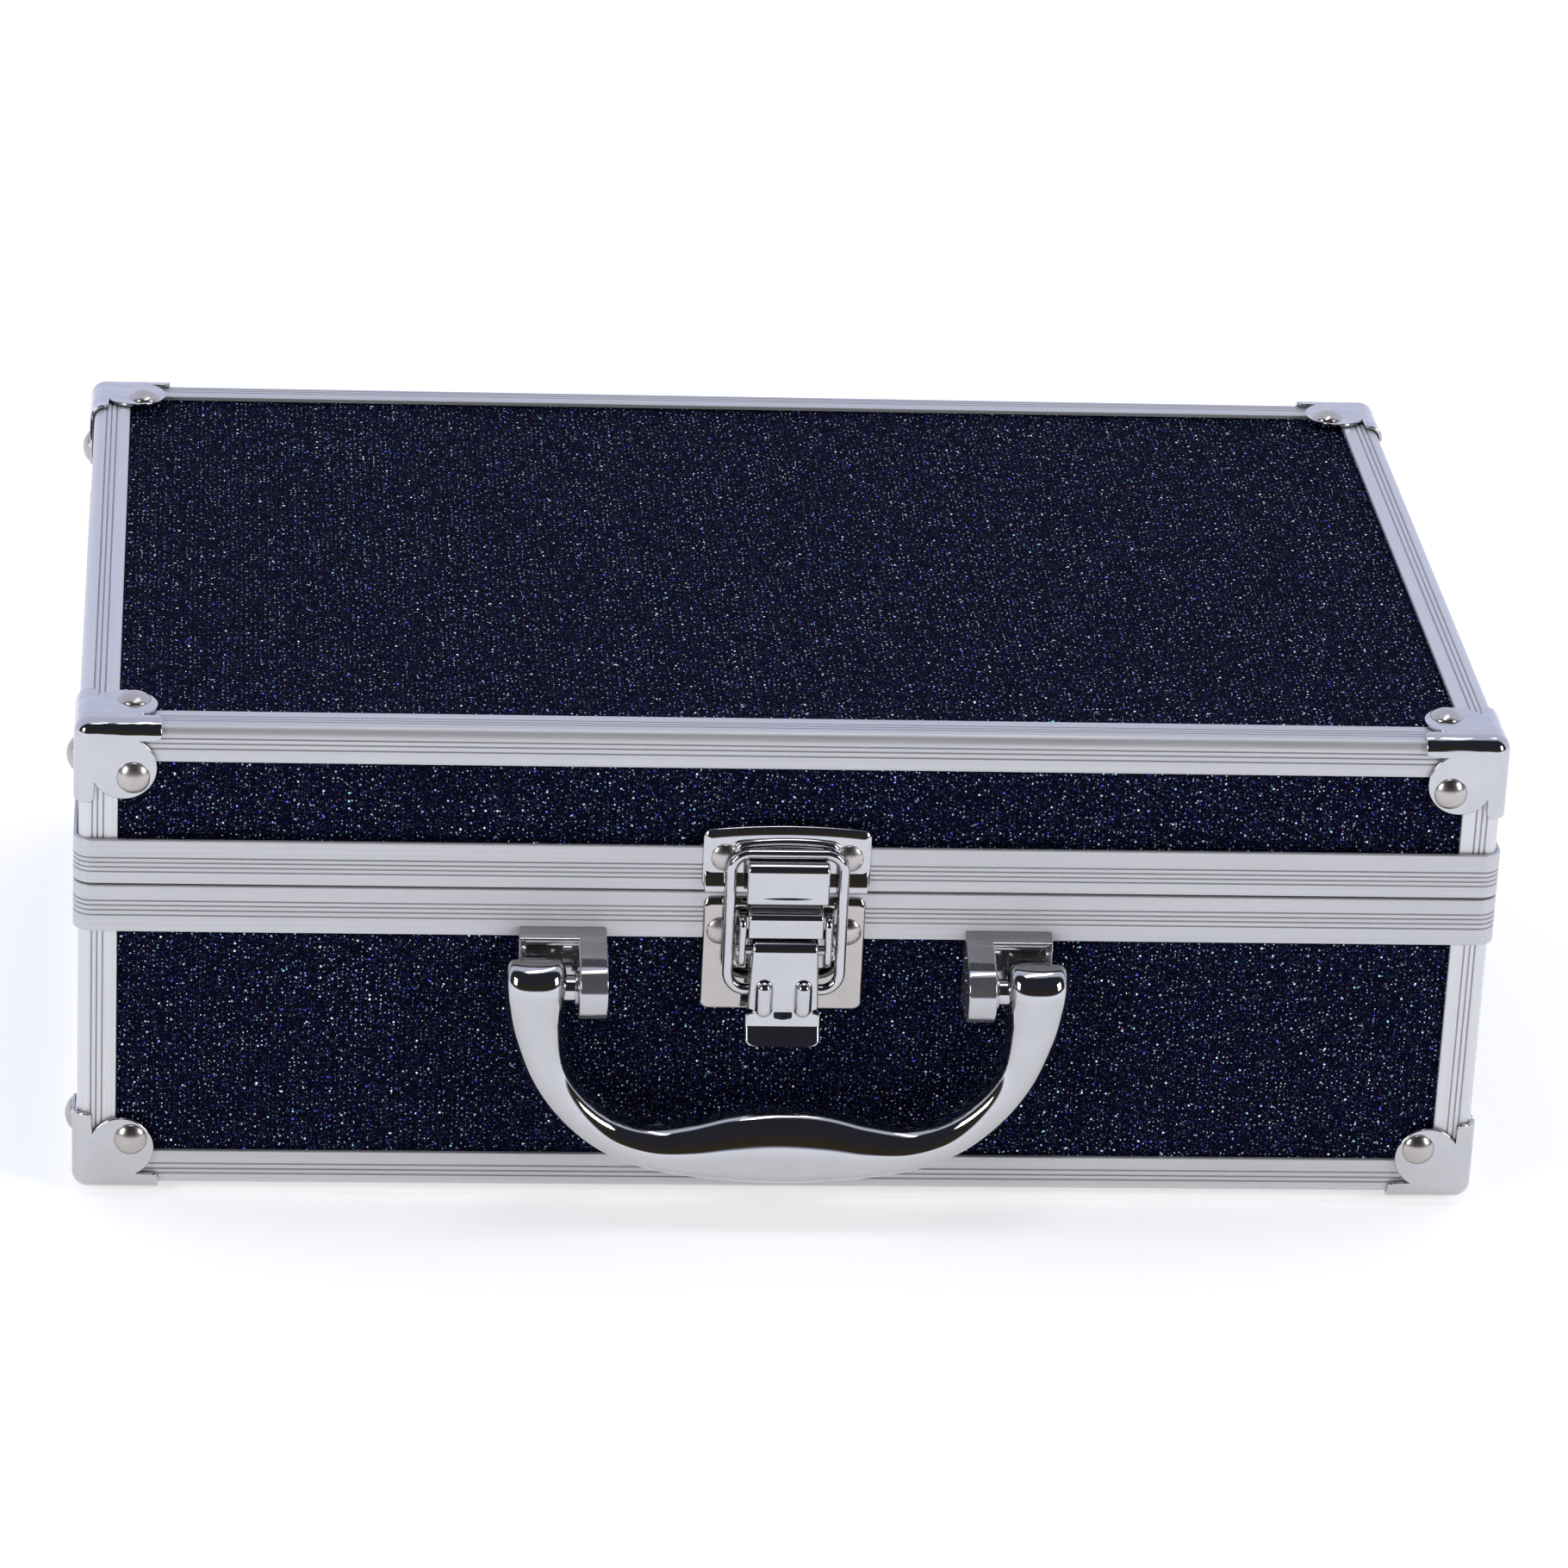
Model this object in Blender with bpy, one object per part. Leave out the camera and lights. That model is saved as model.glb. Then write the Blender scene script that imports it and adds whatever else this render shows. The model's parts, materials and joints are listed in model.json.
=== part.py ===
"""Small aluminium-framed carry case for miniatures, built as an assembly.

Lengths below are millimetres; the meshes are made in metres.  Case coordinates: x to the
right, y back from the front rail plane, z up from the underside of the bottom rails.
"""
import math

import bmesh
import bpy
from mathutils import Matrix, Vector

MM = 0.001

# --- Driving dimensions ---------------------------------------------------------------
WIDTH = 300.0             # outer faces of the left and right rails
DEPTH = 200.0             # outer faces of the front and back rails
HEIGHT = 107.0            # outer faces of the bottom and top rails
SPLIT = 71.1              # height of the line where lid and base part
GAP = 0.3                 # clearance left between pieces that touch
SEAM = 0.4                # visible gap between the two rims

RAIL_LEG = 8.2            # visible leg of the L-shaped rails
RAIL_WALL = 0.9
EDGE_RADIUS = 2.4         # rounding of the rails' outer edge
PANEL_WALL = 4.0
PANEL_INSET = RAIL_WALL + GAP
PANEL_CHAMFER = 1.2       # keeps the boards' edges inside the rails' rounding
INNER = PANEL_INSET + PANEL_WALL

RIM_PROUD = 1.1           # how far the rims stand out from the rails
RIM_WALL = 0.8
BASE_RIM_HEIGHT = 10.9
LID_RIM_HEIGHT = 10.2
RIM_INNER_LEG = 9.0
LIP_HEIGHT = 4.0          # inner lip of the base rim, which centres the lid
LIP_INSET = 6.8

CAP_WALL = 0.8
CAP_PROUD = GAP + CAP_WALL
CAP_REACH = 18.4 - CAP_PROUD      # tips of the cap's fingers from the rail planes
CAP_FINGER = 4.2 - CAP_PROUD
TIP_RADIUS = 1.2          # rounding of the fingers' tips
CAP_NOTCH = (14.0 - CAP_PROUD, 4.4 - CAP_PROUD)
LOBE_CENTRE = 10.4 - CAP_PROUD
LOBE_RADIUS = 7.0
RIVET_PLACE = 12.5 - CAP_PROUD
RIVET_RADIUS = 3.5
RIVET_HEAD = 1.1
RIVET_CROWN = 1.2         # radius of the flat on top of a rivet head
SHANK_RADIUS = 1.6
CAP_REST = -3.2           # the outlines' prisms start outside the cap
CAP_BLOCK = 22.0          # size of the block that the cap is cut from

HINGE_PLACE = 85.0        # centre of each hinge from the middle of the case
HINGE_WIDTH = 36.0
LEAF_HEIGHT = 9.0
LEAF_WALL = 0.8
KNUCKLE_RADIUS = 2.0
KNUCKLE_BORE = 1.25
HINGE_PIN_RADIUS = 0.95
LEAF_CLEAR = 2.4          # the leaf's edge from the hinge axis
WEB_NEAR, WEB_FAR = 0.9, 3.0
HINGE_RIVET_RADIUS = 2.0
HINGE_RIVET_CROWN = 1.0
HINGE_RIVET_HEAD = 0.9
HINGE_OUT = RIM_PROUD + GAP + KNUCKLE_RADIUS     # axis behind the back rail plane

LATCH_X = -1.4
PLATE_FRONT = 2.2         # front of the latch plates, ahead of the rail plane
PLATE_WALL = 0.8
KEEPER_HALF = 17.8
KEEPER_LOW, KEEPER_TOP = 71.7, 86.4
HOOK_HALF = 8.7
HOOK_FRONT = 8.75
HOOK_LOW = 71.7
SHELF = 80.0              # the bail's top bar hangs just above this shelf
HOOK_LIP = 0.5
HOOK_WALL = 0.8
FOLD = 0.3                # small bevel on folded edges
ROOT = 0.4                # how deep folded parts run into their plate
HUMP_HALF = 10.2
HUMP_LOW, HUMP_TOP, HUMP_RISE = 82.9, 84.9, 0.7
HUMP_SLOPE = 0.5
PLATE_CORNER = 1.6
KEEPER_ARCH = 1.2
BASE_PLATE_HALF = 17.2
BASE_PLATE_LOW, BASE_PLATE_TOP = 44.3, 70.3
BRIDGE_HALF = 8.0
BRIDGE_FRONT = 7.8
BRIDGE_LOW, BRIDGE_TOP = 63.4, 69.0
BRIDGE_WALL, BRIDGE_FOLD = 0.8, 0.7
EAR_INNER, EAR_OUTER = 8.8, 9.8
EAR_LOW, EAR_TOP, EAR_RADIUS = 56.0, 67.6, 2.6
EAR_CORNER = 1.6
LEVER_PIN_RADIUS = 1.05
LEVER_BORE = 1.35
LEVER_OUT, LEVER_Z = 6.2, 59.9          # lever pivot
LEVER_BARREL = 2.8
LEVER_HALF = 7.0
LEVER_LOW = 46.7
TAB_HALF = 7.8
TAB_LOW, TAB_FRONT = 39.2, 12.4
LEVER_WALL = 0.9
BAIL_OUT, BAIL_Z = 6.2, 50.7            # bail pivot on the lever
BAIL_TOP_OUT, BAIL_TOP_Z = 4.8, 81.5
BAIL_HALF = 11.9
BAIL_WIRE = 1.2
BAIL_BEND = 4.0
BAIL_BORE = BAIL_WIRE + 0.25
BORE_REACH = 12.0         # cutters run past the latch's sides
KEEPER_RIVETS = (13.05, 79.4)
BASE_PLATE_RIVETS = (13.4, 62.4)
LATCH_RIVET_RADIUS = 3.0

HANDLE_X = -0.8
HANDLE_SOFTNESS = 0.8     # 1 gives oval sections, less gives squarer ones
PIN_OUT, PIN_Z = 9.3, 52.0              # handle pivot
PIN_RADIUS = 2.9
PIN_INNER, PIN_OUTER = 38.4, 52.0
# Half of the handle's centre line: (x, forward, z, half width, half depth)
HANDLE_LINE = (
    (53.3, 9.3, 58.0, 4.2, 3.6),
    (53.3, 9.3, 56.9, 5.5, 5.0),
    (53.2, 9.3, 52.0, 5.9, 5.6),
    (52.8, 9.4, 43.5, 5.2, 5.4),
    (50.0, 9.5, 33.6, 4.3, 5.2),
    (44.6, 9.6, 25.4, 4.0, 5.2),
    (37.0, 9.7, 19.0, 4.1, 5.3),
    (28.0, 9.8, 15.7, 4.7, 5.5),
    (18.5, 9.9, 15.2, 6.3, 5.8),
    (9.0, 9.9, 15.7, 7.9, 6.0),
    (0.0, 9.9, 15.9, 8.4, 6.0),
)
BRACKET_OUTER = 56.6
EAR_LUG_INNER, EAR_LUG_OUTER = 38.0, 44.1
ROOF_TOP, ROOF_WALL, ROOF_REACH = 62.4, 1.8, 4.6
ROOF_SLOPE = 0.35
LUG_RADIUS = 6.5
LUG_TANGENT = 69          # degrees above forward where the roof's slope meets the lug
BRACKET_PLATE = 1.0
BRACKET_LOW = PIN_Z - 6.0
FLANGE_WALL = 1.4
FLANGE_LOW, FLANGE_STEP, FLANGE_BACK = PIN_Z - 4.0, PIN_Z + 5.0, 2.2
BORE_START = 44.0         # inner face of the handle's arms is outside this

FOAM_INSET = 8.2
FLOOR_PAD = 10.0
TRAY_TOP = 70.0
POCKETS = (4, 3)
POCKET_WALL = 12.0
POCKET_DEPTH = 40.0
LID_FOAM_INSET = 10.0
LID_FOAM_LOW = 72.6

FOOT_RISE = CAP_PROUD + RIVET_HEAD      # the case stands on its bottom rivets
FRONT_REACH = max(out + half for _, out, _, _, half in HANDLE_LINE)
BACK_REACH = HINGE_OUT + KNUCKLE_RADIUS
FRONT_Y = (FRONT_REACH - BACK_REACH - DEPTH) / 2

# --- Materials ------------------------------------------------------------------------
FINISHES = {
    "laminate": ((0.012, 0.014, 0.035, 1), 0.45, 0.0),
    "aluminium": ((0.78, 0.78, 0.80, 1), 0.32, 1.0),
    "chrome": ((0.80, 0.80, 0.82, 1), 0.08, 1.0),
    "nickel": ((0.70, 0.67, 0.63, 1), 0.18, 1.0),
    "foam": ((0.05, 0.05, 0.055, 1), 0.95, 0.0),
}
materials = {}


def finish(name):
    """Return the material of that name, made once."""
    if name not in materials:
        colour, roughness, metallic = FINISHES[name]
        material = bpy.data.materials.new(name)
        material.use_nodes = True
        shader = material.node_tree.nodes["Principled BSDF"]
        shader.inputs["Base Color"].default_value = colour
        shader.inputs["Roughness"].default_value = roughness
        shader.inputs["Metallic"].default_value = metallic
        materials[name] = material
    return materials[name]


# --- Mesh helpers ---------------------------------------------------------------------
def add_pivot(name, x, y, z, parent=None):
    """An empty at a point in case coordinates."""
    pivot = bpy.data.objects.new(name, None)
    pivot.empty_display_size = 0.01
    pivot["place"] = (x, y, z)
    origin = Vector(parent["place"]) if parent else Vector((0, -FRONT_Y, -FOOT_RISE))
    pivot.parent = parent
    pivot.location = (Vector((x, y, z)) - origin) * MM
    bpy.context.collection.objects.link(pivot)
    return pivot


def add_object(name, mesh, material, pivot, smooth=False):
    """Link a mesh, drawn in case coordinates, under its pivot."""
    piece = bpy.data.objects.new(name, mesh)
    bpy.context.collection.objects.link(piece)
    piece.parent = pivot
    piece.location = -Vector(pivot["place"]) * MM
    if not mesh.materials:
        mesh.materials.append(finish(material))
    if smooth:
        mesh.shade_smooth()
        mesh.set_sharp_from_angle(angle=math.radians(35))
    return piece


def mesh_from(name, points, faces):
    """A mesh from points in millimetres, with its faces turned outwards."""
    mesh = bpy.data.meshes.new(name)
    mesh.from_pydata([Vector(point) * MM for point in points], [], faces)
    work = bmesh.new()
    work.from_mesh(mesh)
    bmesh.ops.recalc_face_normals(work, faces=work.faces)
    work.to_mesh(mesh)
    work.free()
    return mesh


def skin(name, rings, closed=False):
    """Join equal rings of points; open ends are capped, a closed loop is not."""
    count = len(rings[0])
    points = [point for ring in rings for point in ring]
    faces = []
    spans = len(rings) if closed else len(rings) - 1
    for span in range(spans):
        here, there = span * count, (span + 1) % len(rings) * count
        for k in range(count):
            after = (k + 1) % count
            faces.append((here + k, here + after, there + after, there + k))
    if not closed:
        faces.append(tuple(range(count)))
        faces.append(tuple(range(len(points) - count, len(points))))
    return mesh_from(name, points, faces)


def box(name, low, high):
    """A plain block between two corners."""
    ring = [(low[0], low[1]), (high[0], low[1]), (high[0], high[1]), (low[0], high[1])]
    return skin(name, [[(x, y, z) for x, y in ring] for z in (low[2], high[2])])


def prism(name, outline, axis, low, high):
    """An outline of (u, v) points, extruded along x, y or z."""
    order = {"x": lambda u, v, w: (w, u, v),
             "y": lambda u, v, w: (u, w, v),
             "z": lambda u, v, w: (u, v, w)}[axis]
    return skin(name, [[order(u, v, w) for u, v in outline] for w in (low, high)])


def arc(centre, radius, start, end, steps):
    """Points on an arc, angles in degrees."""
    angles = [math.radians(start + (end - start) * k / steps) for k in range(steps + 1)]
    return [(centre[0] + radius * math.cos(a), centre[1] + radius * math.sin(a)) for a in angles]


def lathe(name, profile, sides, place, axis):
    """Turn (radius, distance) points about a line through place."""
    turn = Vector((0, 0, 1)).rotation_difference(Vector(axis)).to_matrix()
    rings = []
    for radius, along in profile:
        ring = arc((0, 0), radius, 0, 360 * (sides - 1) / sides, sides - 1)
        rings.append([Vector(place) + turn @ Vector((x, y, along)) for x, y in ring])
    return skin(name, rings)


def rod(name, radius, low, high, sides=16):
    """A round bar along x between two points."""
    return lathe(name, [(radius, 0), (radius, high[0] - low[0])], sides, low, (1, 0, 0))


def combine(piece, mesh, operation):
    """Add a Boolean whose second shape is hidden from the result."""
    tool = bpy.data.objects.new(piece.name + "_" + operation.lower(), mesh)
    bpy.context.collection.objects.link(tool)
    tool.parent = piece
    tool.hide_render = True
    tool.display_type = "WIRE"
    change = piece.modifiers.new(operation.title(), "BOOLEAN")
    change.operation = operation
    change.solver = "EXACT"
    change.object = tool


def settled(piece):
    """The piece's mesh with its modifiers applied."""
    graph = bpy.context.evaluated_depsgraph_get()
    return bpy.data.meshes.new_from_object(piece.evaluated_get(graph))


# --- Shell ----------------------------------------------------------------------------
def chamfered_board(name, low, high, chamfer_axes, pivot):
    """A board whose listed edges (corner signs along an axis) are cut at 45 degrees."""
    piece = add_object(name, box(name, low, high), "laminate", pivot)
    centre = [(a + b) / 2 for a, b in zip(low, high)]
    work = bmesh.new()
    work.from_mesh(piece.data)
    edges = []
    for edge in work.edges:
        middle = (edge.verts[0].co + edge.verts[1].co) / 2 / MM
        along = (edge.verts[1].co - edge.verts[0].co).normalized()
        for axis, signs in chamfer_axes:
            others = [k for k in range(3) if k != axis]
            matches = all(signs[k] == 0 or signs[k] * (middle[k] - centre[k]) > 0 for k in others)
            if abs(along[axis]) > 0.9 and matches:
                edges.append(edge)
                break
    bmesh.ops.bevel(work, geom=edges, offset=PANEL_CHAMFER * MM, segments=1, affect="EDGES")
    work.to_mesh(piece.data)
    work.free()
    return piece


def wall_boards(prefix, low, high, pivot):
    """Front, back, left and right boards of one half."""
    left, right = -WIDTH / 2 + PANEL_INSET, WIDTH / 2 - PANEL_INSET
    front, back = PANEL_INSET, DEPTH - PANEL_INSET
    side_front, side_back = INNER + GAP, DEPTH - INNER - GAP
    chamfered_board(prefix + "_front_panel", (left, front, low), (right, front + PANEL_WALL, high),
                    [(2, (0, -1, 0))], pivot)
    chamfered_board(prefix + "_back_panel", (left, back - PANEL_WALL, low), (right, back, high),
                    [(2, (0, 1, 0))], pivot)
    for side, x in (("left", left), ("right", right - PANEL_WALL)):
        board = box(side, (x, side_front, low), (x + PANEL_WALL, side_back, high))
        add_object(f"{prefix}_{side}_panel", board, "laminate", pivot)


def flat_board(name, low_z, outside, pivot):
    """Bottom or top board, chamfered along its four outside edges."""
    low = (-WIDTH / 2 + PANEL_INSET, PANEL_INSET, low_z)
    high = (WIDTH / 2 - PANEL_INSET, DEPTH - PANEL_INSET, low_z + PANEL_WALL)
    edges = [(0, (0, 0, outside)), (1, (0, 0, outside)), (2, (0, 0, 0))]
    return chamfered_board(name, low, high, edges, pivot)


def rail_outline():
    """Cross-section of an L rail with its outer corner at the origin."""
    centre, inside = (EDGE_RADIUS, EDGE_RADIUS), EDGE_RADIUS - RAIL_WALL
    outer = arc(centre, EDGE_RADIUS, 270, 180, 3)
    inner = arc(centre, inside, 180, 270, 3)
    return ([(RAIL_LEG, 0)] + outer + [(0, RAIL_LEG), (RAIL_WALL, RAIL_LEG)] + inner
            + [(RAIL_LEG, RAIL_WALL)])


def add_rails(prefix, edge_z, up, pivot):
    """The four long rails around the bottom or the top."""
    start = RAIL_LEG + GAP
    outline = rail_outline()
    for side, y, sign in (("front", 0, 1), ("back", DEPTH, -1)):
        points = [(y + sign * u, edge_z + up * v) for u, v in outline]
        mesh = prism(side, points, "x", -WIDTH / 2 + start, WIDTH / 2 - start)
        add_object(f"{prefix}_{side}_rail", mesh, "aluminium", pivot, smooth=True)
    for side, x, sign in (("left", -WIDTH / 2, 1), ("right", WIDTH / 2, -1)):
        points = [(x + sign * u, edge_z + up * v) for u, v in outline]
        mesh = prism(side, points, "y", start, DEPTH - start)
        add_object(f"{prefix}_{side}_rail", mesh, "aluminium", pivot, smooth=True)


CORNERS = [(side, face) for face in (0, 1) for side in (-1, 1)]


def corner_name(side, face):
    """Such as front_left."""
    return ("back" if face else "front") + "_" + ("right" if side > 0 else "left")


def add_posts(prefix, low, high, pivot):
    """The four upright corner rails of one half."""
    for side, face in CORNERS:
        across, along = -side, (-1 if face else 1)
        points = [(side * WIDTH / 2 + across * u, face * DEPTH + along * v)
                  for u, v in rail_outline()]
        mesh = prism("post", points, "z", low, high)
        add_object(f"{prefix}_{corner_name(side, face)}_post", mesh, "aluminium", pivot, smooth=True)


def rim_path(inset):
    """A rounded rectangle, inset from the rail planes."""
    radius = max(EDGE_RADIUS - inset, 0.4)
    half_x, half_y = WIDTH / 2 - inset - radius, DEPTH / 2 - inset - radius
    path = []
    for quarter, (sx, sy) in enumerate(((1, 1), (-1, 1), (-1, -1), (1, -1))):
        centre = (sx * half_x, DEPTH / 2 + sy * half_y)
        path += arc(centre, radius, 90 * quarter, 90 * quarter + 90, 4)
    return path


def add_rim(name, profile, pivot):
    """Sweep an (inset, height) profile round the case."""
    loops = [[(x, y, z) for x, y in rim_path(inset)] for inset, z in profile]
    return add_object(name, skin(name, loops, closed=True), "aluminium", pivot, smooth=True)


def base_rim_profile():
    """Outer leg, web, inner leg over the board, and the centring lip."""
    top, low = SPLIT - SEAM / 2, SPLIT - BASE_RIM_HEIGHT
    web, inner = top - 1.0, INNER + GAP
    return [(-RIM_PROUD, low + 0.3), (-RIM_PROUD + 0.3, low), (-GAP, low), (-GAP, web),
            (inner, web), (inner, SPLIT - RIM_INNER_LEG), (inner + RIM_WALL, SPLIT - RIM_INNER_LEG),
            (inner + RIM_WALL, web), (LIP_INSET + RIM_WALL, web),
            (LIP_INSET + RIM_WALL, SPLIT + LIP_HEIGHT), (LIP_INSET, SPLIT + LIP_HEIGHT),
            (LIP_INSET, top), (-RIM_PROUD + 0.2, top), (-RIM_PROUD, top - 0.2)]


def lid_rim_profile():
    """Outer leg, web and inner leg of the lid's rim."""
    low, top = SPLIT + SEAM / 2, SPLIT + LID_RIM_HEIGHT
    web, inner = low + 1.0, INNER + GAP
    return [(-RIM_PROUD, low + 0.2), (-RIM_PROUD + 0.2, low), (inner + RIM_WALL, low),
            (inner + RIM_WALL, SPLIT + RIM_INNER_LEG), (inner, SPLIT + RIM_INNER_LEG),
            (inner, web), (-GAP, web), (-GAP, top), (-RIM_PROUD + 0.3, top), (-RIM_PROUD, top - 0.3)]


# --- Corner caps ----------------------------------------------------------------------
def rounded_corner_block(name, low, radius, high):
    """A cube whose three edges at its low corner are rounded."""
    mesh = box(name, (low,) * 3, (high,) * 3)
    work = bmesh.new()
    work.from_mesh(mesh)
    work.verts.ensure_lookup_table()
    corner = min(work.verts, key=lambda v: sum(v.co))
    bmesh.ops.bevel(work, geom=list(corner.link_edges), offset=radius * MM, segments=3,
                    profile=0.5, affect="EDGES")
    bmesh.ops.recalc_face_normals(work, faces=work.faces)
    work.to_mesh(mesh)
    work.free()
    return mesh


def cap_outline():
    """One face of the cap: two fingers along the edges and a round lobe between them."""
    start = math.degrees(math.atan2(CAP_NOTCH[1] - LOBE_CENTRE, CAP_NOTCH[0] - LOBE_CENTRE))
    lobe = arc((LOBE_CENTRE, LOBE_CENTRE), LOBE_RADIUS, start, 90 - start, 8)
    finger = arc((CAP_REACH - TIP_RADIUS, CAP_FINGER - TIP_RADIUS), TIP_RADIUS, 0, 90, 2)
    points = [(CAP_REST, CAP_REST), (CAP_REACH, CAP_REST)] + finger + lobe
    return points + [(v, u) for u, v in reversed(finger)] + [(CAP_REST, CAP_REACH)]


def cap_mesh(pivot):
    """Cap for the corner at the origin, its faces running along +x, +y and +z."""
    block = rounded_corner_block("cap", -CAP_PROUD, EDGE_RADIUS + CAP_PROUD, CAP_BLOCK)
    cap = add_object("cap_pattern", block, "chrome", pivot)
    combine(cap, rounded_corner_block("hollow", -GAP, EDGE_RADIUS + GAP, CAP_BLOCK + 2), "DIFFERENCE")
    keep = None
    for axis in "xyz":
        mesh = prism("keep_" + axis, cap_outline(), axis, CAP_REST - 0.2, EDGE_RADIUS - 0.6)
        if keep is None:
            keep = add_object("cap_keep", mesh, "chrome", pivot)
        else:
            combine(keep, mesh, "UNION")
    combine(cap, settled(keep), "INTERSECT")
    profile = [(SHANK_RADIUS, PANEL_INSET - GAP), (SHANK_RADIUS, -0.6), (RIVET_RADIUS, -0.6),
               (RIVET_RADIUS, -CAP_PROUD - 0.15), (RIVET_RADIUS * 0.74, -CAP_PROUD - 0.8),
               (RIVET_CROWN, -CAP_PROUD - RIVET_HEAD)]
    rivets = bmesh.new()
    for axis in range(3):
        place = [RIVET_PLACE] * 3
        place[axis] = 0
        line = [0, 0, 0]
        line[axis] = 1
        rivets.from_mesh(lathe("rivet", profile, 8, place, line))
    heads = bpy.data.meshes.new("rivets")
    rivets.to_mesh(heads)
    rivets.free()
    combine(cap, heads, "UNION")
    mesh = settled(cap)
    for spare in (cap, keep):
        for tool in list(spare.children):
            bpy.data.objects.remove(tool)
        bpy.data.objects.remove(spare)
    return mesh


def add_caps(prefix, pattern, edge_z, up, pivot):
    """Mirror the pattern into the four corners of one half."""
    for side, face in CORNERS:
        signs = Vector((-side, -1 if face else 1, up))
        corner = Vector((side * WIDTH / 2, face * DEPTH, edge_z)) * MM
        mesh = pattern.copy()
        mesh.transform(Matrix.Translation(corner) @ Matrix.Diagonal((*signs, 1)))
        if signs.x * signs.y * signs.z < 0:
            mesh.flip_normals()
        add_object(f"{prefix}_{corner_name(side, face)}_corner", mesh, "chrome", pivot, smooth=True)


# --- Hinges ---------------------------------------------------------------------------
def add_hinge(name, x, base, lid):
    """Two riveted leaves with three knuckles round a pin."""
    leaf_y = DEPTH + RIM_PROUD + GAP
    axis_y = DEPTH + HINGE_OUT
    half = HINGE_WIDTH / 2
    part = HINGE_WIDTH / 3
    spans = {"base": [(-part / 2 + GAP, part / 2 - GAP)], "lid": [(-half, -part / 2), (part / 2, half)]}
    rivet = [(HINGE_RIVET_RADIUS, GAP), (HINGE_RIVET_RADIUS, LEAF_WALL + 0.2),
             (HINGE_RIVET_CROWN, LEAF_WALL + HINGE_RIVET_HEAD)]
    for name_half, pivot, up in (("base", base, -1), ("lid", lid, 1)):
        near, far = sorted((SPLIT + up * LEAF_CLEAR, SPLIT + up * LEAF_HEIGHT))
        mesh = box("leaf", (x - half, leaf_y, near), (x + half, leaf_y + LEAF_WALL, far))
        leaf = add_object(f"{name}_{name_half}_leaf", mesh, "nickel", pivot)
        for low, high in spans[name_half]:
            web_low, web_high = sorted((SPLIT + up * WEB_NEAR, SPLIT + up * WEB_FAR))
            web = box("web", (x + low, leaf_y, web_low), (x + high, leaf_y + LEAF_WALL, web_high))
            combine(leaf, web, "UNION")
            knuckle = rod("knuckle", KNUCKLE_RADIUS, (x + low, axis_y, SPLIT), (x + high, axis_y, SPLIT))
            combine(leaf, knuckle, "UNION")
        middle = (LEAF_CLEAR + LEAF_HEIGHT) / 2
        for rivet_x in (-part, part):
            place = (x + rivet_x, leaf_y, SPLIT + up * middle)
            combine(leaf, lathe("rivet", rivet, 10, place, (0, 1, 0)), "UNION")
        bore = rod("bore", KNUCKLE_BORE, (x - 2 * half, axis_y, SPLIT), (x + 2 * half, axis_y, SPLIT), 12)
        combine(leaf, bore, "DIFFERENCE")
    pin = rod("pin", HINGE_PIN_RADIUS, (x - half, axis_y, SPLIT), (x + half, axis_y, SPLIT))
    add_object(f"{name}_pin", pin, "nickel", base, smooth=True)


# --- Latch ----------------------------------------------------------------------------
def latch_rivet(name, x, z, pivot):
    """The domed head of a rivet that holds a latch plate."""
    profile = [(LATCH_RIVET_RADIUS, 0.0), (LATCH_RIVET_RADIUS, 0.15), (LATCH_RIVET_RADIUS * 0.72, 0.55),
               (1.1, 0.75)]
    mesh = lathe(name, profile, 12, (x, -PLATE_FRONT - GAP, z), (0, -1, 0))
    add_object(name, mesh, "nickel", pivot, smooth=True)


def rounded_plate(name, half, low, high, arch=0.0):
    """A latch plate with rounded corners and an optionally arched top edge."""
    radius = PLATE_CORNER
    outline = arc((LATCH_X - half + radius, low + radius), radius, 180, 270, 3)
    outline += arc((LATCH_X + half - radius, low + radius), radius, 270, 360, 3)
    outline += arc((LATCH_X + half - radius, high - radius), radius, 0, 60, 2)
    if arch:
        outline += [(LATCH_X + half * k, high + arch * (1 - k ** 2)) for k in (0.5, 0, -0.5)]
    outline += arc((LATCH_X - half + radius, high - radius), radius, 120, 180, 2)
    return prism(name, outline, "y", -PLATE_FRONT, -PLATE_FRONT + PLATE_WALL)


def latch_section(name, section, low, high):
    """A (forward, height) section, extruded across the latch between two distances from its middle."""
    return prism(name, [(-out, z) for out, z in section], "x", LATCH_X + low, LATCH_X + high)


def add_keeper(pivot):
    """Plate on the lid with a raised hump and the hook the bail hangs on."""
    plate = rounded_plate("keeper", KEEPER_HALF, KEEPER_LOW, KEEPER_TOP - KEEPER_ARCH, KEEPER_ARCH)
    keeper = add_object("latch_keeper", plate, "chrome", pivot, smooth=True)
    root, inside, lip = PLATE_FRONT - ROOT, HOOK_FRONT - HOOK_WALL, SHELF + HOOK_LIP
    hook = [(root, SHELF - HOOK_WALL), (inside, SHELF - HOOK_WALL), (inside, HOOK_LOW),
            (HOOK_FRONT, HOOK_LOW), (HOOK_FRONT, lip - FOLD), (HOOK_FRONT - FOLD, lip), (inside, lip),
            (inside, SHELF), (root, SHELF)]
    combine(keeper, latch_section("hook", hook, -HOOK_HALF, HOOK_HALF), "UNION")
    hump = [(root, HUMP_LOW), (PLATE_FRONT + HUMP_RISE, HUMP_LOW + HUMP_SLOPE),
            (PLATE_FRONT + HUMP_RISE, HUMP_TOP - HUMP_SLOPE), (root, HUMP_TOP)]
    combine(keeper, latch_section("hump", hump, -HUMP_HALF, HUMP_HALF), "UNION")


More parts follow.
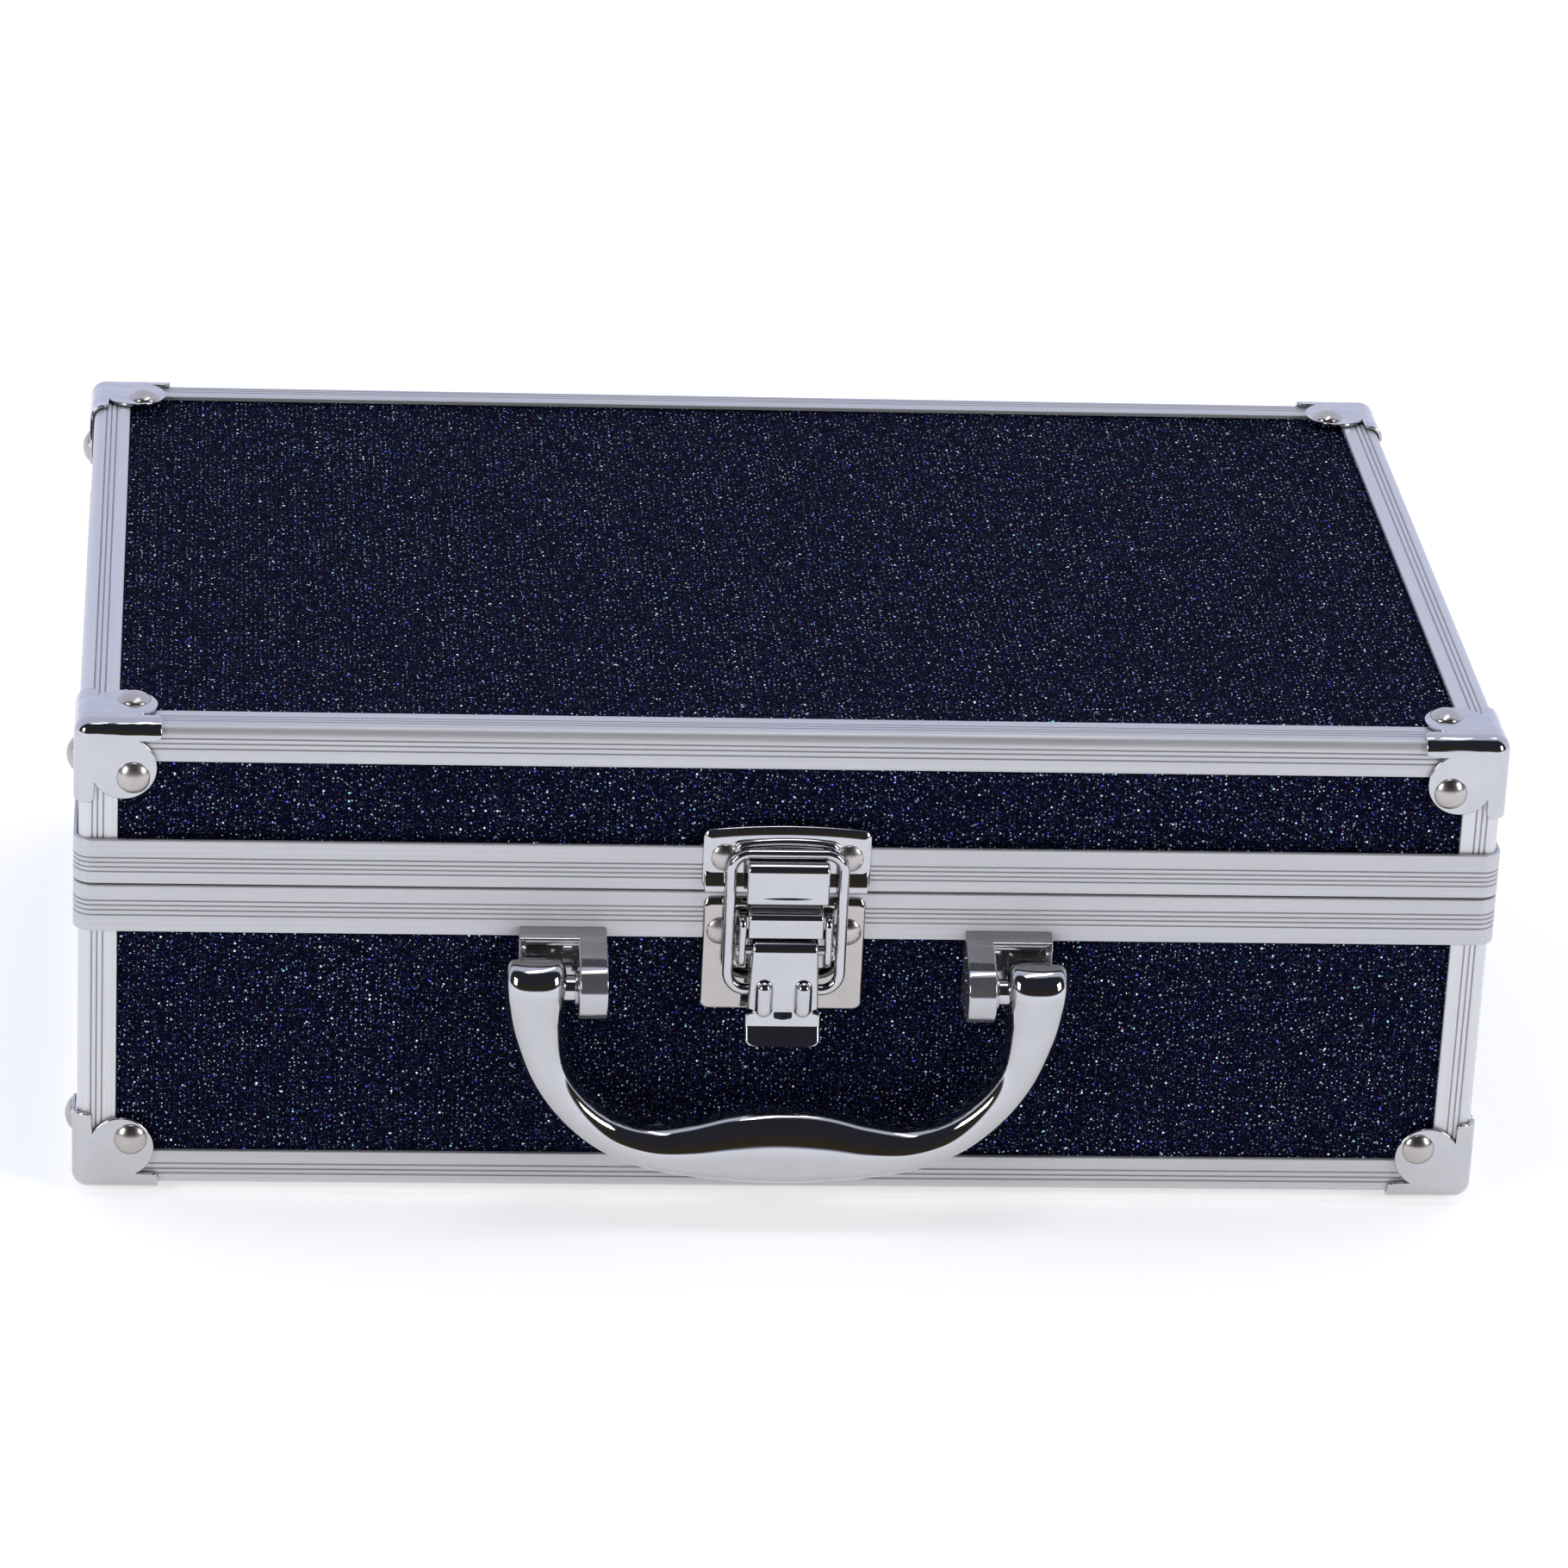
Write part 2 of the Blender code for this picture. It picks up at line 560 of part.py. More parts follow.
def add_latch_base(pivot):
    """Plate on the base with a bridge and the ears that carry the lever."""
    mesh = rounded_plate("plate", BASE_PLATE_HALF, BASE_PLATE_LOW, BASE_PLATE_TOP)
    plate = add_object("latch_base_plate", mesh, "chrome", pivot, smooth=True)
    root, inside, under = PLATE_FRONT - ROOT, BRIDGE_FRONT - BRIDGE_WALL, BRIDGE_TOP - BRIDGE_WALL
    bridge = [(root, BRIDGE_TOP), (root, under), (inside, under), (inside, BRIDGE_LOW),
              (BRIDGE_FRONT, BRIDGE_LOW), (BRIDGE_FRONT, BRIDGE_TOP - BRIDGE_FOLD),
              (BRIDGE_FRONT - BRIDGE_FOLD, BRIDGE_TOP)]
    combine(plate, latch_section("bridge", bridge, -BRIDGE_HALF, BRIDGE_HALF), "UNION")
    front = LEVER_OUT + EAR_RADIUS
    ear = [(root, EAR_LOW)] + arc((LEVER_OUT, LEVER_Z), EAR_RADIUS, 270, 360, 3)
    ear += [(front, EAR_TOP - EAR_CORNER), (front - EAR_CORNER, EAR_TOP), (root, EAR_TOP)]
    for side in (-1, 1):
        low, high = sorted((side * EAR_INNER, side * EAR_OUTER))
        combine(plate, latch_section("ear", ear, low, high), "UNION")
    bore = rod("bore", LEVER_BORE, (LATCH_X - BORE_REACH, -LEVER_OUT, LEVER_Z),
               (LATCH_X + BORE_REACH, -LEVER_OUT, LEVER_Z), 12)
    combine(plate, bore, "DIFFERENCE")


def add_lever(pivot):
    """Over-centre lever: barrel round the pivot, flat front, side cheeks and a finger tab."""
    front, inside = LEVER_OUT + LEVER_BARREL, LEVER_OUT + LEVER_BARREL - LEVER_WALL
    bend = LEVER_LOW + 0.2
    section = arc((LEVER_OUT, LEVER_Z), LEVER_BARREL, 0, 270, 9)
    section += [(inside, LEVER_Z - LEVER_BARREL), (inside, LEVER_LOW), (TAB_FRONT - LEVER_WALL, TAB_LOW),
                (TAB_FRONT, TAB_LOW), (front, bend)]
    mesh = latch_section("lever", section, -LEVER_HALF, LEVER_HALF)
    lever = add_object("latch_lever", mesh, "chrome", pivot, smooth=True)
    behind = LEVER_WALL / 2
    cheek = [(front - behind, LEVER_Z - 1.0), (LEVER_OUT - 1.8, LEVER_Z - 2.6),
             (BAIL_OUT - 2.4, BAIL_Z - 0.8), (BAIL_OUT - 1.2, BAIL_Z - 2.6), (front - behind, bend + 0.4)]
    skim = 0.05               # keeps the wings' faces off the lever's own
    wing = [(front + skim, bend), (TAB_FRONT - skim, TAB_LOW + 0.15),
            (TAB_FRONT - LEVER_WALL + skim, TAB_LOW + 0.15), (inside + skim, bend)]
    for side in (-1, 1):
        low, high = sorted((side * (LEVER_HALF - LEVER_WALL), side * (LEVER_HALF - skim)))
        combine(lever, latch_section("cheek", cheek, low, high), "UNION")
        low, high = sorted((side * (LEVER_HALF - 1.0), side * TAB_HALF))
        combine(lever, latch_section("wing", wing, low, high), "UNION")
    for radius, out, z in ((LEVER_BORE, LEVER_OUT, LEVER_Z), (BAIL_BORE, BAIL_OUT, BAIL_Z)):
        bore = rod("bore", radius, (LATCH_X - BORE_REACH, -out, z), (LATCH_X + BORE_REACH, -out, z), 12)
        combine(lever, bore, "DIFFERENCE")


def add_bail(pivot):
    """Closed wire loop: bottom bar through the lever, legs, top bar on the hook."""
    height = math.hypot(BAIL_TOP_OUT - BAIL_OUT, BAIL_TOP_Z - BAIL_Z)
    lean = Vector((0, BAIL_OUT - BAIL_TOP_OUT, BAIL_TOP_Z - BAIL_Z)) / height
    across, origin = Vector((1, 0, 0)), Vector((LATCH_X, -BAIL_OUT, BAIL_Z))
    normal = across.cross(lean)
    rings = []
    for quarter, (sx, sz) in enumerate(((1, 1), (-1, 1), (-1, 0), (1, 0))):
        centre = (sx * (BAIL_HALF - BAIL_BEND), sz * height - (BAIL_BEND if sz else -BAIL_BEND))
        for c, s in arc((0, 0), 1, 90 * quarter, 90 * quarter + 90, 4):
            outward = across * c + lean * s
            middle = origin + across * centre[0] + lean * centre[1] + outward * BAIL_BEND
            circle = arc((0, 0), 1, 0, 315, 7)
            rings.append([middle + (outward * u + normal * v) * BAIL_WIRE for u, v in circle])
    add_object("latch_bail", skin("bail", rings, closed=True), "chrome", pivot, smooth=True)


# --- Handle ---------------------------------------------------------------------------
def smooth_between(knots, steps):
    """Catmull-Rom points through the knots."""
    result = []
    for k in range(len(knots) - 1):
        a, b, c, d = (Vector(knots[max(0, min(len(knots) - 1, k + j))]) for j in (-1, 0, 1, 2))
        for step in range(steps):
            t = step / steps
            result.append(0.5 * (2 * b + (c - a) * t + (2 * a - 5 * b + 4 * c - d) * t * t
                                 + (3 * b - a - 3 * c + d) * t ** 3))
    return result + [Vector(knots[-1])]


def handle_mesh():
    """Loft soft-cornered sections along the mirrored centre line."""
    half = list(HANDLE_LINE)
    knots = half + [(-x, out, z, width, depth) for x, out, z, width, depth in reversed(half[:-1])]
    ends, middle = 2, knots[2:-2]
    line = [Vector(k) for k in knots[:ends]] + smooth_between(middle, 3) + [Vector(k) for k in knots[-ends:]]
    rings = []
    for k, point in enumerate(line):
        before, after = line[max(k - 1, 0)], line[min(k + 1, len(line) - 1)]
        run = Vector((after[0] - before[0], 0, after[2] - before[2])).normalized()
        across = Vector((-run.z, 0, run.x))
        centre = Vector((HANDLE_X + point[0], -point[1], point[2]))
        ring = []
        for u, v in arc((0, 0), 1, 0, 330, 11):
            u = math.copysign(abs(u) ** HANDLE_SOFTNESS, u)
            v = math.copysign(abs(v) ** HANDLE_SOFTNESS, v)
            ring.append(centre + across * u * point[3] + Vector((0, 1, 0)) * v * point[4])
        rings.append(ring)
    return skin("handle", rings)


def add_handle(pivot):
    """Swinging grip with a blind pin bore in each arm."""
    handle = add_object("handle", handle_mesh(), "chrome", pivot, smooth=True)
    for side in (-1, 1):
        inner, outer = sorted((HANDLE_X + side * BORE_START, HANDLE_X + side * (PIN_OUTER + GAP)))
        bore = rod("bore", PIN_RADIUS + GAP, (inner, -PIN_OUT, PIN_Z), (outer, -PIN_OUT, PIN_Z), 14)
        combine(handle, bore, "DIFFERENCE")


def add_bracket(name, side, pivot):
    """Cast bracket: back plate, roof under the rim, outer flange and the pin's lug."""
    def span(a, b):
        return sorted((HANDLE_X + side * a, HANDLE_X + side * b))

    rim_face, wall_face = -RIM_PROUD - GAP, -0.5
    under_rim = SPLIT - BASE_RIM_HEIGHT - GAP
    low, high = span(EAR_LUG_INNER, BRACKET_OUTER)
    plate = box("back", (low, -BRACKET_PLATE, BRACKET_LOW), (high, PANEL_INSET - GAP, under_rim))
    bracket = add_object(name, plate, "chrome", pivot, smooth=True)
    lip = ROOF_TOP - ROOF_SLOPE * (ROOF_REACH + rim_face)
    roof = [(rim_face, ROOF_TOP), (rim_face, under_rim), (wall_face, under_rim),
            (wall_face, under_rim - 0.6), (-ROOF_REACH, lip - ROOF_WALL), (-ROOF_REACH, lip)]
    combine(bracket, prism("roof", roof, "x", low, high), "UNION")
    skim = 0.1                # keeps the lug's faces off the roof's
    lug = [(rim_face - skim, ROOF_TOP - skim), (rim_face - skim, under_rim - skim),
           (wall_face + skim, under_rim - skim), (wall_face + skim, PIN_Z - LUG_RADIUS + 0.2)]
    lug += [(-out, z) for out, z in arc((PIN_OUT, PIN_Z), LUG_RADIUS, 270, 360 + LUG_TANGENT, 9)]
    low, high = span(EAR_LUG_INNER, EAR_LUG_OUTER)
    combine(bracket, prism("lug", lug, "x", low, high), "UNION")
    edge = -ROOF_REACH + 0.5
    flange = [(wall_face, FLANGE_LOW), (-FLANGE_BACK, FLANGE_LOW), (-FLANGE_BACK, FLANGE_STEP),
              (edge, FLANGE_STEP), (edge, lip - 0.5), (wall_face, under_rim - 0.2)]
    low, high = span(BRACKET_OUTER - FLANGE_WALL, BRACKET_OUTER)
    combine(bracket, prism("flange", flange, "x", low, high), "UNION")
    low, high = span(PIN_INNER - 0.2, BRACKET_OUTER + 4)
    bore = rod("bore", PIN_RADIUS + GAP, (low, -PIN_OUT, PIN_Z), (high, -PIN_OUT, PIN_Z), 14)
    combine(bracket, bore, "DIFFERENCE")
    low, high = span(PIN_INNER, PIN_OUTER)
    pin = rod("pin", PIN_RADIUS, (low, -PIN_OUT, PIN_Z), (high, -PIN_OUT, PIN_Z), 14)
    add_object(name.replace("bracket", "pin"), pin, "chrome", pivot, smooth=True)


# --- Foam -----------------------------------------------------------------------------
def add_foam(base, lid):
    """Floor pad, pocketed tray and lid pad."""
    left, right = -WIDTH / 2 + FOAM_INSET, WIDTH / 2 - FOAM_INSET
    front, back = FOAM_INSET, DEPTH - FOAM_INSET
    floor = INNER + GAP
    tray_low = floor + FLOOR_PAD + GAP
    pad = box("pad", (left, front, floor), (right, back, floor + FLOOR_PAD))
    add_object("foam_floor_pad", pad, "foam", base)
    block = box("tray", (left, front, tray_low), (right, back, TRAY_TOP))
    tray = add_object("foam_tray", block, "foam", base)
    columns, rows = POCKETS
    step_x = (right - left - POCKET_WALL) / columns
    step_y = (back - front - POCKET_WALL) / rows
    for column in range(columns):
        for row in range(rows):
            x, y = left + POCKET_WALL + column * step_x, front + POCKET_WALL + row * step_y
            pocket = box("pocket", (x, y, TRAY_TOP - POCKET_DEPTH),
                         (x + step_x - POCKET_WALL, y + step_y - POCKET_WALL, TRAY_TOP + 5))
            combine(tray, pocket, "DIFFERENCE")
    inset = LID_FOAM_INSET
    pad = box("lid_pad", (-WIDTH / 2 + inset, inset, LID_FOAM_LOW),
              (WIDTH / 2 - inset, DEPTH - inset, HEIGHT - floor))
    add_object("foam_lid_pad", pad, "foam", lid)


# --- Assembly -------------------------------------------------------------------------
def build():
    """Make every piece of the case."""
    for thing in list(bpy.data.objects):
        bpy.data.objects.remove(thing)
    base = add_pivot("case_frame", 0, 0, 0)
    lid = add_pivot("lid_pivot", 0, DEPTH + HINGE_OUT, SPLIT, base)
    lever = add_pivot("lever_pivot", LATCH_X, -LEVER_OUT, LEVER_Z, base)
    bail = add_pivot("bail_pivot", LATCH_X, -BAIL_OUT, BAIL_Z, lever)
    handle = add_pivot("handle_pivot", HANDLE_X, -PIN_OUT, PIN_Z, base)

    under_base_rim = SPLIT - SEAM / 2 - 1.0 - GAP
    over_lid_rim = SPLIT + SEAM / 2 + 1.0 + GAP
    rail_end = RAIL_LEG + GAP
    flat_board("base_bottom_panel", PANEL_INSET, -1, base)
    flat_board("lid_top_panel", HEIGHT - INNER, 1, lid)
    wall_boards("base", INNER + GAP, under_base_rim, base)
    wall_boards("lid", over_lid_rim, HEIGHT - INNER - GAP, lid)
    add_rails("base", 0, 1, base)
    add_rails("lid", HEIGHT, -1, lid)
    add_posts("base", rail_end, under_base_rim, base)
    add_posts("lid", over_lid_rim, HEIGHT - rail_end, lid)
    add_rim("base_rim", base_rim_profile(), base)
    add_rim("lid_rim", lid_rim_profile(), lid)
    pattern = cap_mesh(base)
    add_caps("base", pattern, 0, 1, base)
    add_caps("lid", pattern, HEIGHT, -1, lid)

    for name, side in (("left_hinge", -1), ("right_hinge", 1)):
        add_hinge(name, side * HINGE_PLACE, base, lid)

    add_keeper(lid)
    add_latch_base(base)
    add_lever(lever)
    add_bail(bail)
    reach = EAR_OUTER + 0.5
    pin = rod("pin", LEVER_PIN_RADIUS, (LATCH_X - reach, -LEVER_OUT, LEVER_Z),
              (LATCH_X + reach, -LEVER_OUT, LEVER_Z))
    add_object("latch_pivot_pin", pin, "nickel", base, smooth=True)
    for side, word in ((-1, "left"), (1, "right")):
        for half, (across, z), holder in (("keeper", KEEPER_RIVETS, lid), ("base", BASE_PLATE_RIVETS, base)):
            latch_rivet(f"latch_{half}_{word}_rivet", LATCH_X + side * across, z, holder)
        add_bracket(f"handle_{word}_bracket", side, base)
    add_handle(handle)
    add_foam(base, lid)


build()
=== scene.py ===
"""Finished look of a small aluminium-framed carry case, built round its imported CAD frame.

Shapes are drawn in case coordinates, in millimetres: x to the right, y back from the front
rail plane, z up from the underside of the bottom rails.  put() turns them into metres in
the frame's own axes.
"""
import json
import math

import bmesh
import bpy
from mathutils import Matrix, Vector


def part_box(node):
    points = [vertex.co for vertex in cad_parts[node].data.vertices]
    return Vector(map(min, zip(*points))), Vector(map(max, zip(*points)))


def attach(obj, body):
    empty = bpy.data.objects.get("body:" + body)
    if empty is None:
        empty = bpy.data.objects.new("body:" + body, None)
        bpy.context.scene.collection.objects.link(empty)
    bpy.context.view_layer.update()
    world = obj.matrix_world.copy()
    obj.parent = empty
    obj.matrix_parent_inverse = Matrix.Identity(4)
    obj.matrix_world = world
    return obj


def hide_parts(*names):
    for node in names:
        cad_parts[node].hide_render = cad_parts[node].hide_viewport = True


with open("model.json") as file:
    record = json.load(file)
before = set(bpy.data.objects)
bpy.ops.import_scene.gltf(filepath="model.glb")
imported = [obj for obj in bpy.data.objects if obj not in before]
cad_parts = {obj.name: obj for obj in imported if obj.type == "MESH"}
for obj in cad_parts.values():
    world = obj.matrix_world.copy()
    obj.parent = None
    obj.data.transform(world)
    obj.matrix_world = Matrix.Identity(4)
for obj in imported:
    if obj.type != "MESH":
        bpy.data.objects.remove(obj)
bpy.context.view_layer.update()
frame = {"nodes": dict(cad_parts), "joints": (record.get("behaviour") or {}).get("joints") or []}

# --- Places, read from the frame ---
MM = 0.001
FRONT_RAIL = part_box("base_front_rail")
ORIGIN = Vector((0, FRONT_RAIL[0].y, FRONT_RAIL[0].z))


def case_box(node):
    """Lowest and highest corner of a CAD node, in case coordinates."""
    return tuple((Vector(corner) - ORIGIN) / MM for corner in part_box(node))


def joint_place(name):
    """A joint's pivot in case coordinates."""
    place = next(joint["pos_m"] for joint in frame["joints"] if joint["name"] == name)
    return (Vector(place) - ORIGIN) / MM


WIDTH = 2 * case_box("base_right_rail")[1].x
DEPTH = case_box("base_back_rail")[1].y
HEIGHT = case_box("lid_front_rail")[1].z
HINGE_AXIS = joint_place("lid_hinge")
SPLIT = HINGE_AXIS.z
LEVER_PIVOT, BAIL_PIVOT = joint_place("lever_pivot"), joint_place("bail_pivot")
HANDLE_PIVOT = joint_place("handle_swing")
LATCH_X, HANDLE_X = LEVER_PIVOT.x, HANDLE_PIVOT.x
RIM_PROUD = -case_box("base_rim")[0].y
HALVES = (("base", "case_base", 0, 1), ("lid", "lid", HEIGHT, -1))    # name, body, outer level, way in
FRONT_BACK = (("front", 0, 1), ("back", DEPTH, -1))                   # name, plane, way in
LEFT_RIGHT = (("left", -WIDTH / 2, 1), ("right", WIDTH / 2, -1))

GAP = 0.3       # left between CAD pieces that touch
RAIL_LEG = 8.2
RAIL_WALL = 0.9
EDGE_RADIUS = 2.4
RAIL_GROOVES = (2.9, 4.0, 5.2)
GROOVE_HALF, GROOVE_DEPTH = 0.2, 0.42
LID_GROOVES = (3.0, 4.05, 5.1, 6.15)      # heights above the split
BASE_GROOVES = (3.7, 4.75, 5.85, 7.0)     # depths below the split
RIM_WEB, RIM_LEG, LID_CREST, RIM_FOOT = 1.0, 9.0, 10.2, 10.9
QUARTERS = ((1, 1), (-1, 1), (-1, -1), (1, -1))      # a rectangle's corners, anticlockwise


# --- Shapes ---
def put(point):
    """Case coordinates in millimetres to the frame's metres."""
    return ORIGIN + Vector(point) * MM


def arc(centre, radius, start, end, steps):
    """Points on an arc, angles in degrees."""
    angles = [math.radians(start + (end - start) * k / steps) for k in range(steps + 1)]
    return [(centre[0] + radius * math.cos(a), centre[1] + radius * math.sin(a)) for a in angles]


def circle(sides):
    """Points round a unit circle."""
    return arc((0, 0), 1, 0, 360 * (sides - 1) / sides, sides - 1)


def heading(path, k):
    """The direction in which an open path runs at its point k."""
    return (Vector(path[min(k + 1, len(path) - 1)]) - Vector(path[max(k - 1, 0)])).normalized()


def corner_arc(before, here, after, radius, steps):
    """Points on the arc that rounds a path's corner."""
    here = Vector(here)
    back, on = (Vector(before[:2]) - here).normalized(), (Vector(after[:2]) - here).normalized()
    half = back.angle(on) / 2
    centre = here + (back + on).normalized() * radius / math.sin(half)
    start = here + back * radius / math.tan(half) - centre
    end = here + on * radius / math.tan(half) - centre
    turn = start.angle_signed(end)
    return [tuple(centre + Matrix.Rotation(-turn * step / steps, 2) @ start) for step in range(steps + 1)]


def rounded(corners, steps=6):
    """A closed outline from (u, v, radius) corners, each rounded by an arc."""
    outline = []
    for k, (u, v, radius) in enumerate(corners):
        if radius == 0:
            outline.append((u, v))
        else:
            after = corners[(k + 1) % len(corners)]
            outline += corner_arc(corners[k - 1], (u, v), after, radius, steps)
    return outline


def inset(outline, distance):
    """Move an outline's points inwards, along its mitred normals."""
    area = sum(a[0] * b[1] - a[1] * b[0] for a, b in zip(outline, outline[1:] + outline[:1]))
    side = distance if area > 0 else -distance
    moved = []
    for k, point in enumerate(outline):
        here = Vector(point)
        before = (here - Vector(outline[k - 1])).normalized()
        after = (Vector(outline[(k + 1) % len(outline)]) - here).normalized()
        left, right = Vector((-before.y, before.x)), Vector((-after.y, after.x))
        moved.append(tuple(here + (left + right) * side / max(1 + left.dot(right), 0.35)))
    return moved


class Shape:
    """Points and faces of one piece, gathered from closed rings."""

    def __init__(self):
        self.points, self.faces = [], []

    def skin(self, rings, closed=False):
        """Join equal rings; open ends are capped."""
        count, first = len(rings[0]), len(self.points)
        self.points += [put(point) for ring in rings for point in ring]
        spans = len(rings) if closed else len(rings) - 1
        for span in range(spans):
            here, there = first + span * count, first + (span + 1) % len(rings) * count
            for k in range(count):
                after = (k + 1) % count
                self.faces.append((here + k, here + after, there + after, there + k))
        if not closed:
            self.faces.append(tuple(range(first, first + count)))
            self.faces.append(tuple(range(len(self.points) - count, len(self.points))))
        return self

    def slab(self, outline, low, high, place, soft=0.15):
        """A plate of that outline between two levels, with softly rounded rims."""
        turns = (0, math.pi / 4, math.pi / 2)
        curve = [(soft * (1 - math.sin(turn)), soft * (1 - math.cos(turn))) for turn in turns]
        levels = [(cut, low + rise) for cut, rise in curve]
        levels += [(cut, high - rise) for cut, rise in reversed(curve)]
        rings = [[place(u, v, w) for u, v in inset(outline, cut)] for cut, w in levels]
        return self.skin(rings)

    def lathe(self, profile, place, axis, sides=40):
        """Turn (radius, distance) points about a line through place."""
        turn = Vector((0, 0, 1)).rotation_difference(Vector(axis)).to_matrix()
        rings = [[Vector(place) + turn @ Vector((c * radius, s * radius, along)) for c, s in circle(sides)]
                 for radius, along in profile]
        return self.skin(rings)


def headed(end, length):
    """A pin's (radius, distance) profile: one end's points, and the same at its other end."""
    return end + [(radius, length - along) for radius, along in reversed(end)]


def across(u, v, w):
    """Sections drawn as (forward, height), extruded along x."""
    return (w, -u, v)


def facing(u, v, w):
    """Outlines drawn as (x, height), extruded forwards."""
    return (u, -w, v)


def behind(u, v, w):
    """Outlines drawn as (x, height), extruded backwards."""
    return (u, w, v)


def new_object(name, data):
    """An object in the scene's own collection."""
    made = bpy.data.objects.new(name, data)
    bpy.context.scene.collection.objects.link(made)
    return made


def closed_mesh(name, points, faces):
    """A mesh whose faces all point outwards."""
    mesh = bpy.data.meshes.new(name)
    mesh.from_pydata(points, [], faces)
    work = bmesh.new()
    work.from_mesh(mesh)
    bmesh.ops.recalc_face_normals(work, faces=work.faces)
    work.to_mesh(mesh)
    work.free()
    return mesh


def modify(made, name, kind, **settings):
    """Add a modifier with its settings."""
    change = made.modifiers.new(name, kind)
    for key, value in settings.items():
        setattr(change, key, value)


def keep_flat(made):
    """Shade large faces flat, up to their rounded edges."""
    modify(made, "Flat faces stay flat", "WEIGHTED_NORMAL", keep_sharp=True)


def applied(made):
    """A new mesh of the object with its modifiers applied."""
    graph = bpy.context.evaluated_depsgraph_get()
    return bpy.data.meshes.new_from_object(made.evaluated_get(graph))


def piece(name, shape, body, finish, node, sharp=50, flat=True):
    """Make a shape into a named object that rides on a body and stands for a CAD node."""
    return dress(name, closed_mesh(name, shape.points, shape.faces), body, finish, node, sharp, flat)


def dress(name, mesh, body, finish, node, sharp, flat):
    """Link a mesh as a smooth piece with its material, body and slot."""
    made = new_object(name, mesh)
    mesh.materials.clear()
    mesh.materials.append(finish)
    mesh.shade_smooth()
    mesh.set_sharp_from_angle(angle=math.radians(sharp))
    if flat:
        keep_flat(made)
    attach(made, body)
    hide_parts(node)
    return made


# --- Materials ---
def new_material(name, slot, colour, metallic, roughness):
    """A Principled material that remembers its slot."""
    made = bpy.data.materials.new(name)
    made.use_nodes = True
    made["slot"] = slot
    shader = made.node_tree.nodes["Principled BSDF"]
    shader.inputs["Base Color"].default_value = (*colour, 1)
    shader.inputs["Metallic"].default_value = metallic
    shader.inputs["Roughness"].default_value = roughness
    return made, made.node_tree, shader


def feed(tree, node, values):
    """Set a node's inputs; a value may be a number, a colour or another socket."""
    for key, value in values.items():
        if isinstance(value, bpy.types.NodeSocket):
            tree.links.new(value, node.inputs[key])
        else:
            node.inputs[key].default_value = value


def add(tree, kind, values=None, **settings):
    """A node with its settings and its inputs."""
    made = tree.nodes.new(kind)
    for key, value in settings.items():
        setattr(made, key, value)
    feed(tree, made, values or {})
    return made


def maths(tree, operation, first, second=0.5):
    """One Math node."""
    return add(tree, "ShaderNodeMath", {0: first, 1: second}, operation=operation).outputs[0]


def times(tree, first, second):
    """The product of two values."""
    return maths(tree, "MULTIPLY", first, second)


def mixed(tree, factor, first, second):
    """A colour mix."""
    values = {"Factor": factor}
    for key, value in ((6, first), (7, second)):
        values[key] = value if isinstance(value, bpy.types.NodeSocket) else (*value, 1)
    return add(tree, "ShaderNodeMix", values, data_type="RGBA").outputs[2]


def ranged(tree, value, low, high, to_low=0.0, to_high=1.0):
    """A clamped linear range."""
    return add(tree, "ShaderNodeMapRange", {0: value, 1: low, 2: high, 3: to_low, 4: to_high}).outputs[0]


def place_of(tree, scale=(1, 1, 1)):
    """Object coordinates, which are the frame's metres, times a scale."""
    coordinates = add(tree, "ShaderNodeTexCoord").outputs["Object"]
    return add(tree, "ShaderNodeMapping", {"Vector": coordinates, "Scale": scale}).outputs[0]


def noise(tree, vector, scale, detail=2.0, roughness=0.5):
    """Noise, as a value from 0 to 1."""
    values = {"Vector": vector, "Scale": scale, "Detail": detail, "Roughness": roughness}
    return add(tree, "ShaderNodeTexNoise", values).outputs[0]


def bumped(tree, shader, height, distance, strength=1.0):
    """Give the shader a bump of that height."""
    values = {"Height": height, "Distance": distance, "Strength": strength}
    tree.links.new(add(tree, "ShaderNodeBump", values).outputs[0], shader.inputs["Normal"])


def sparkle_layer(tree, flat, cell, radius, least):
    """Dots on a jittered grid: (mask, brightness, random colour)."""
    dots = add(tree, "ShaderNodeTexVoronoi", {"Vector": flat, "Scale": 1 / cell, "Randomness": 1.0},
               voronoi_dimensions="2D")
    parts = add(tree, "ShaderNodeSeparateColor", {0: dots.outputs["Color"]})
    mask = ranged(tree, dots.outputs["Distance"], radius, radius * 0.55)
    lit = ranged(tree, parts.outputs[0], least, 1.0)
    return times(tree, mask, maths(tree, "POWER", lit, 1.6)), parts


RIB_STEP, ROW_STEP = 1.1 * MM, 0.99 * MM
CLOTH_SHADES = ((0.0025, 0.0021, 0.0038), (0.0025, 0.0042, 0.021), (0.0065, 0.0068, 0.0150))
FLAKE_SHADES = (      # the share of flakes that each shade starts at
    (0.0, (0.86, 0.90, 1.0)), (0.34, (0.45, 0.55, 1.0)), (0.56, (0.10, 0.15, 0.95)),
    (0.78, (0.62, 0.50, 0.95)), (0.88, (0.35, 0.80, 0.92)),
)
FLOOR_GLOW = 0.47


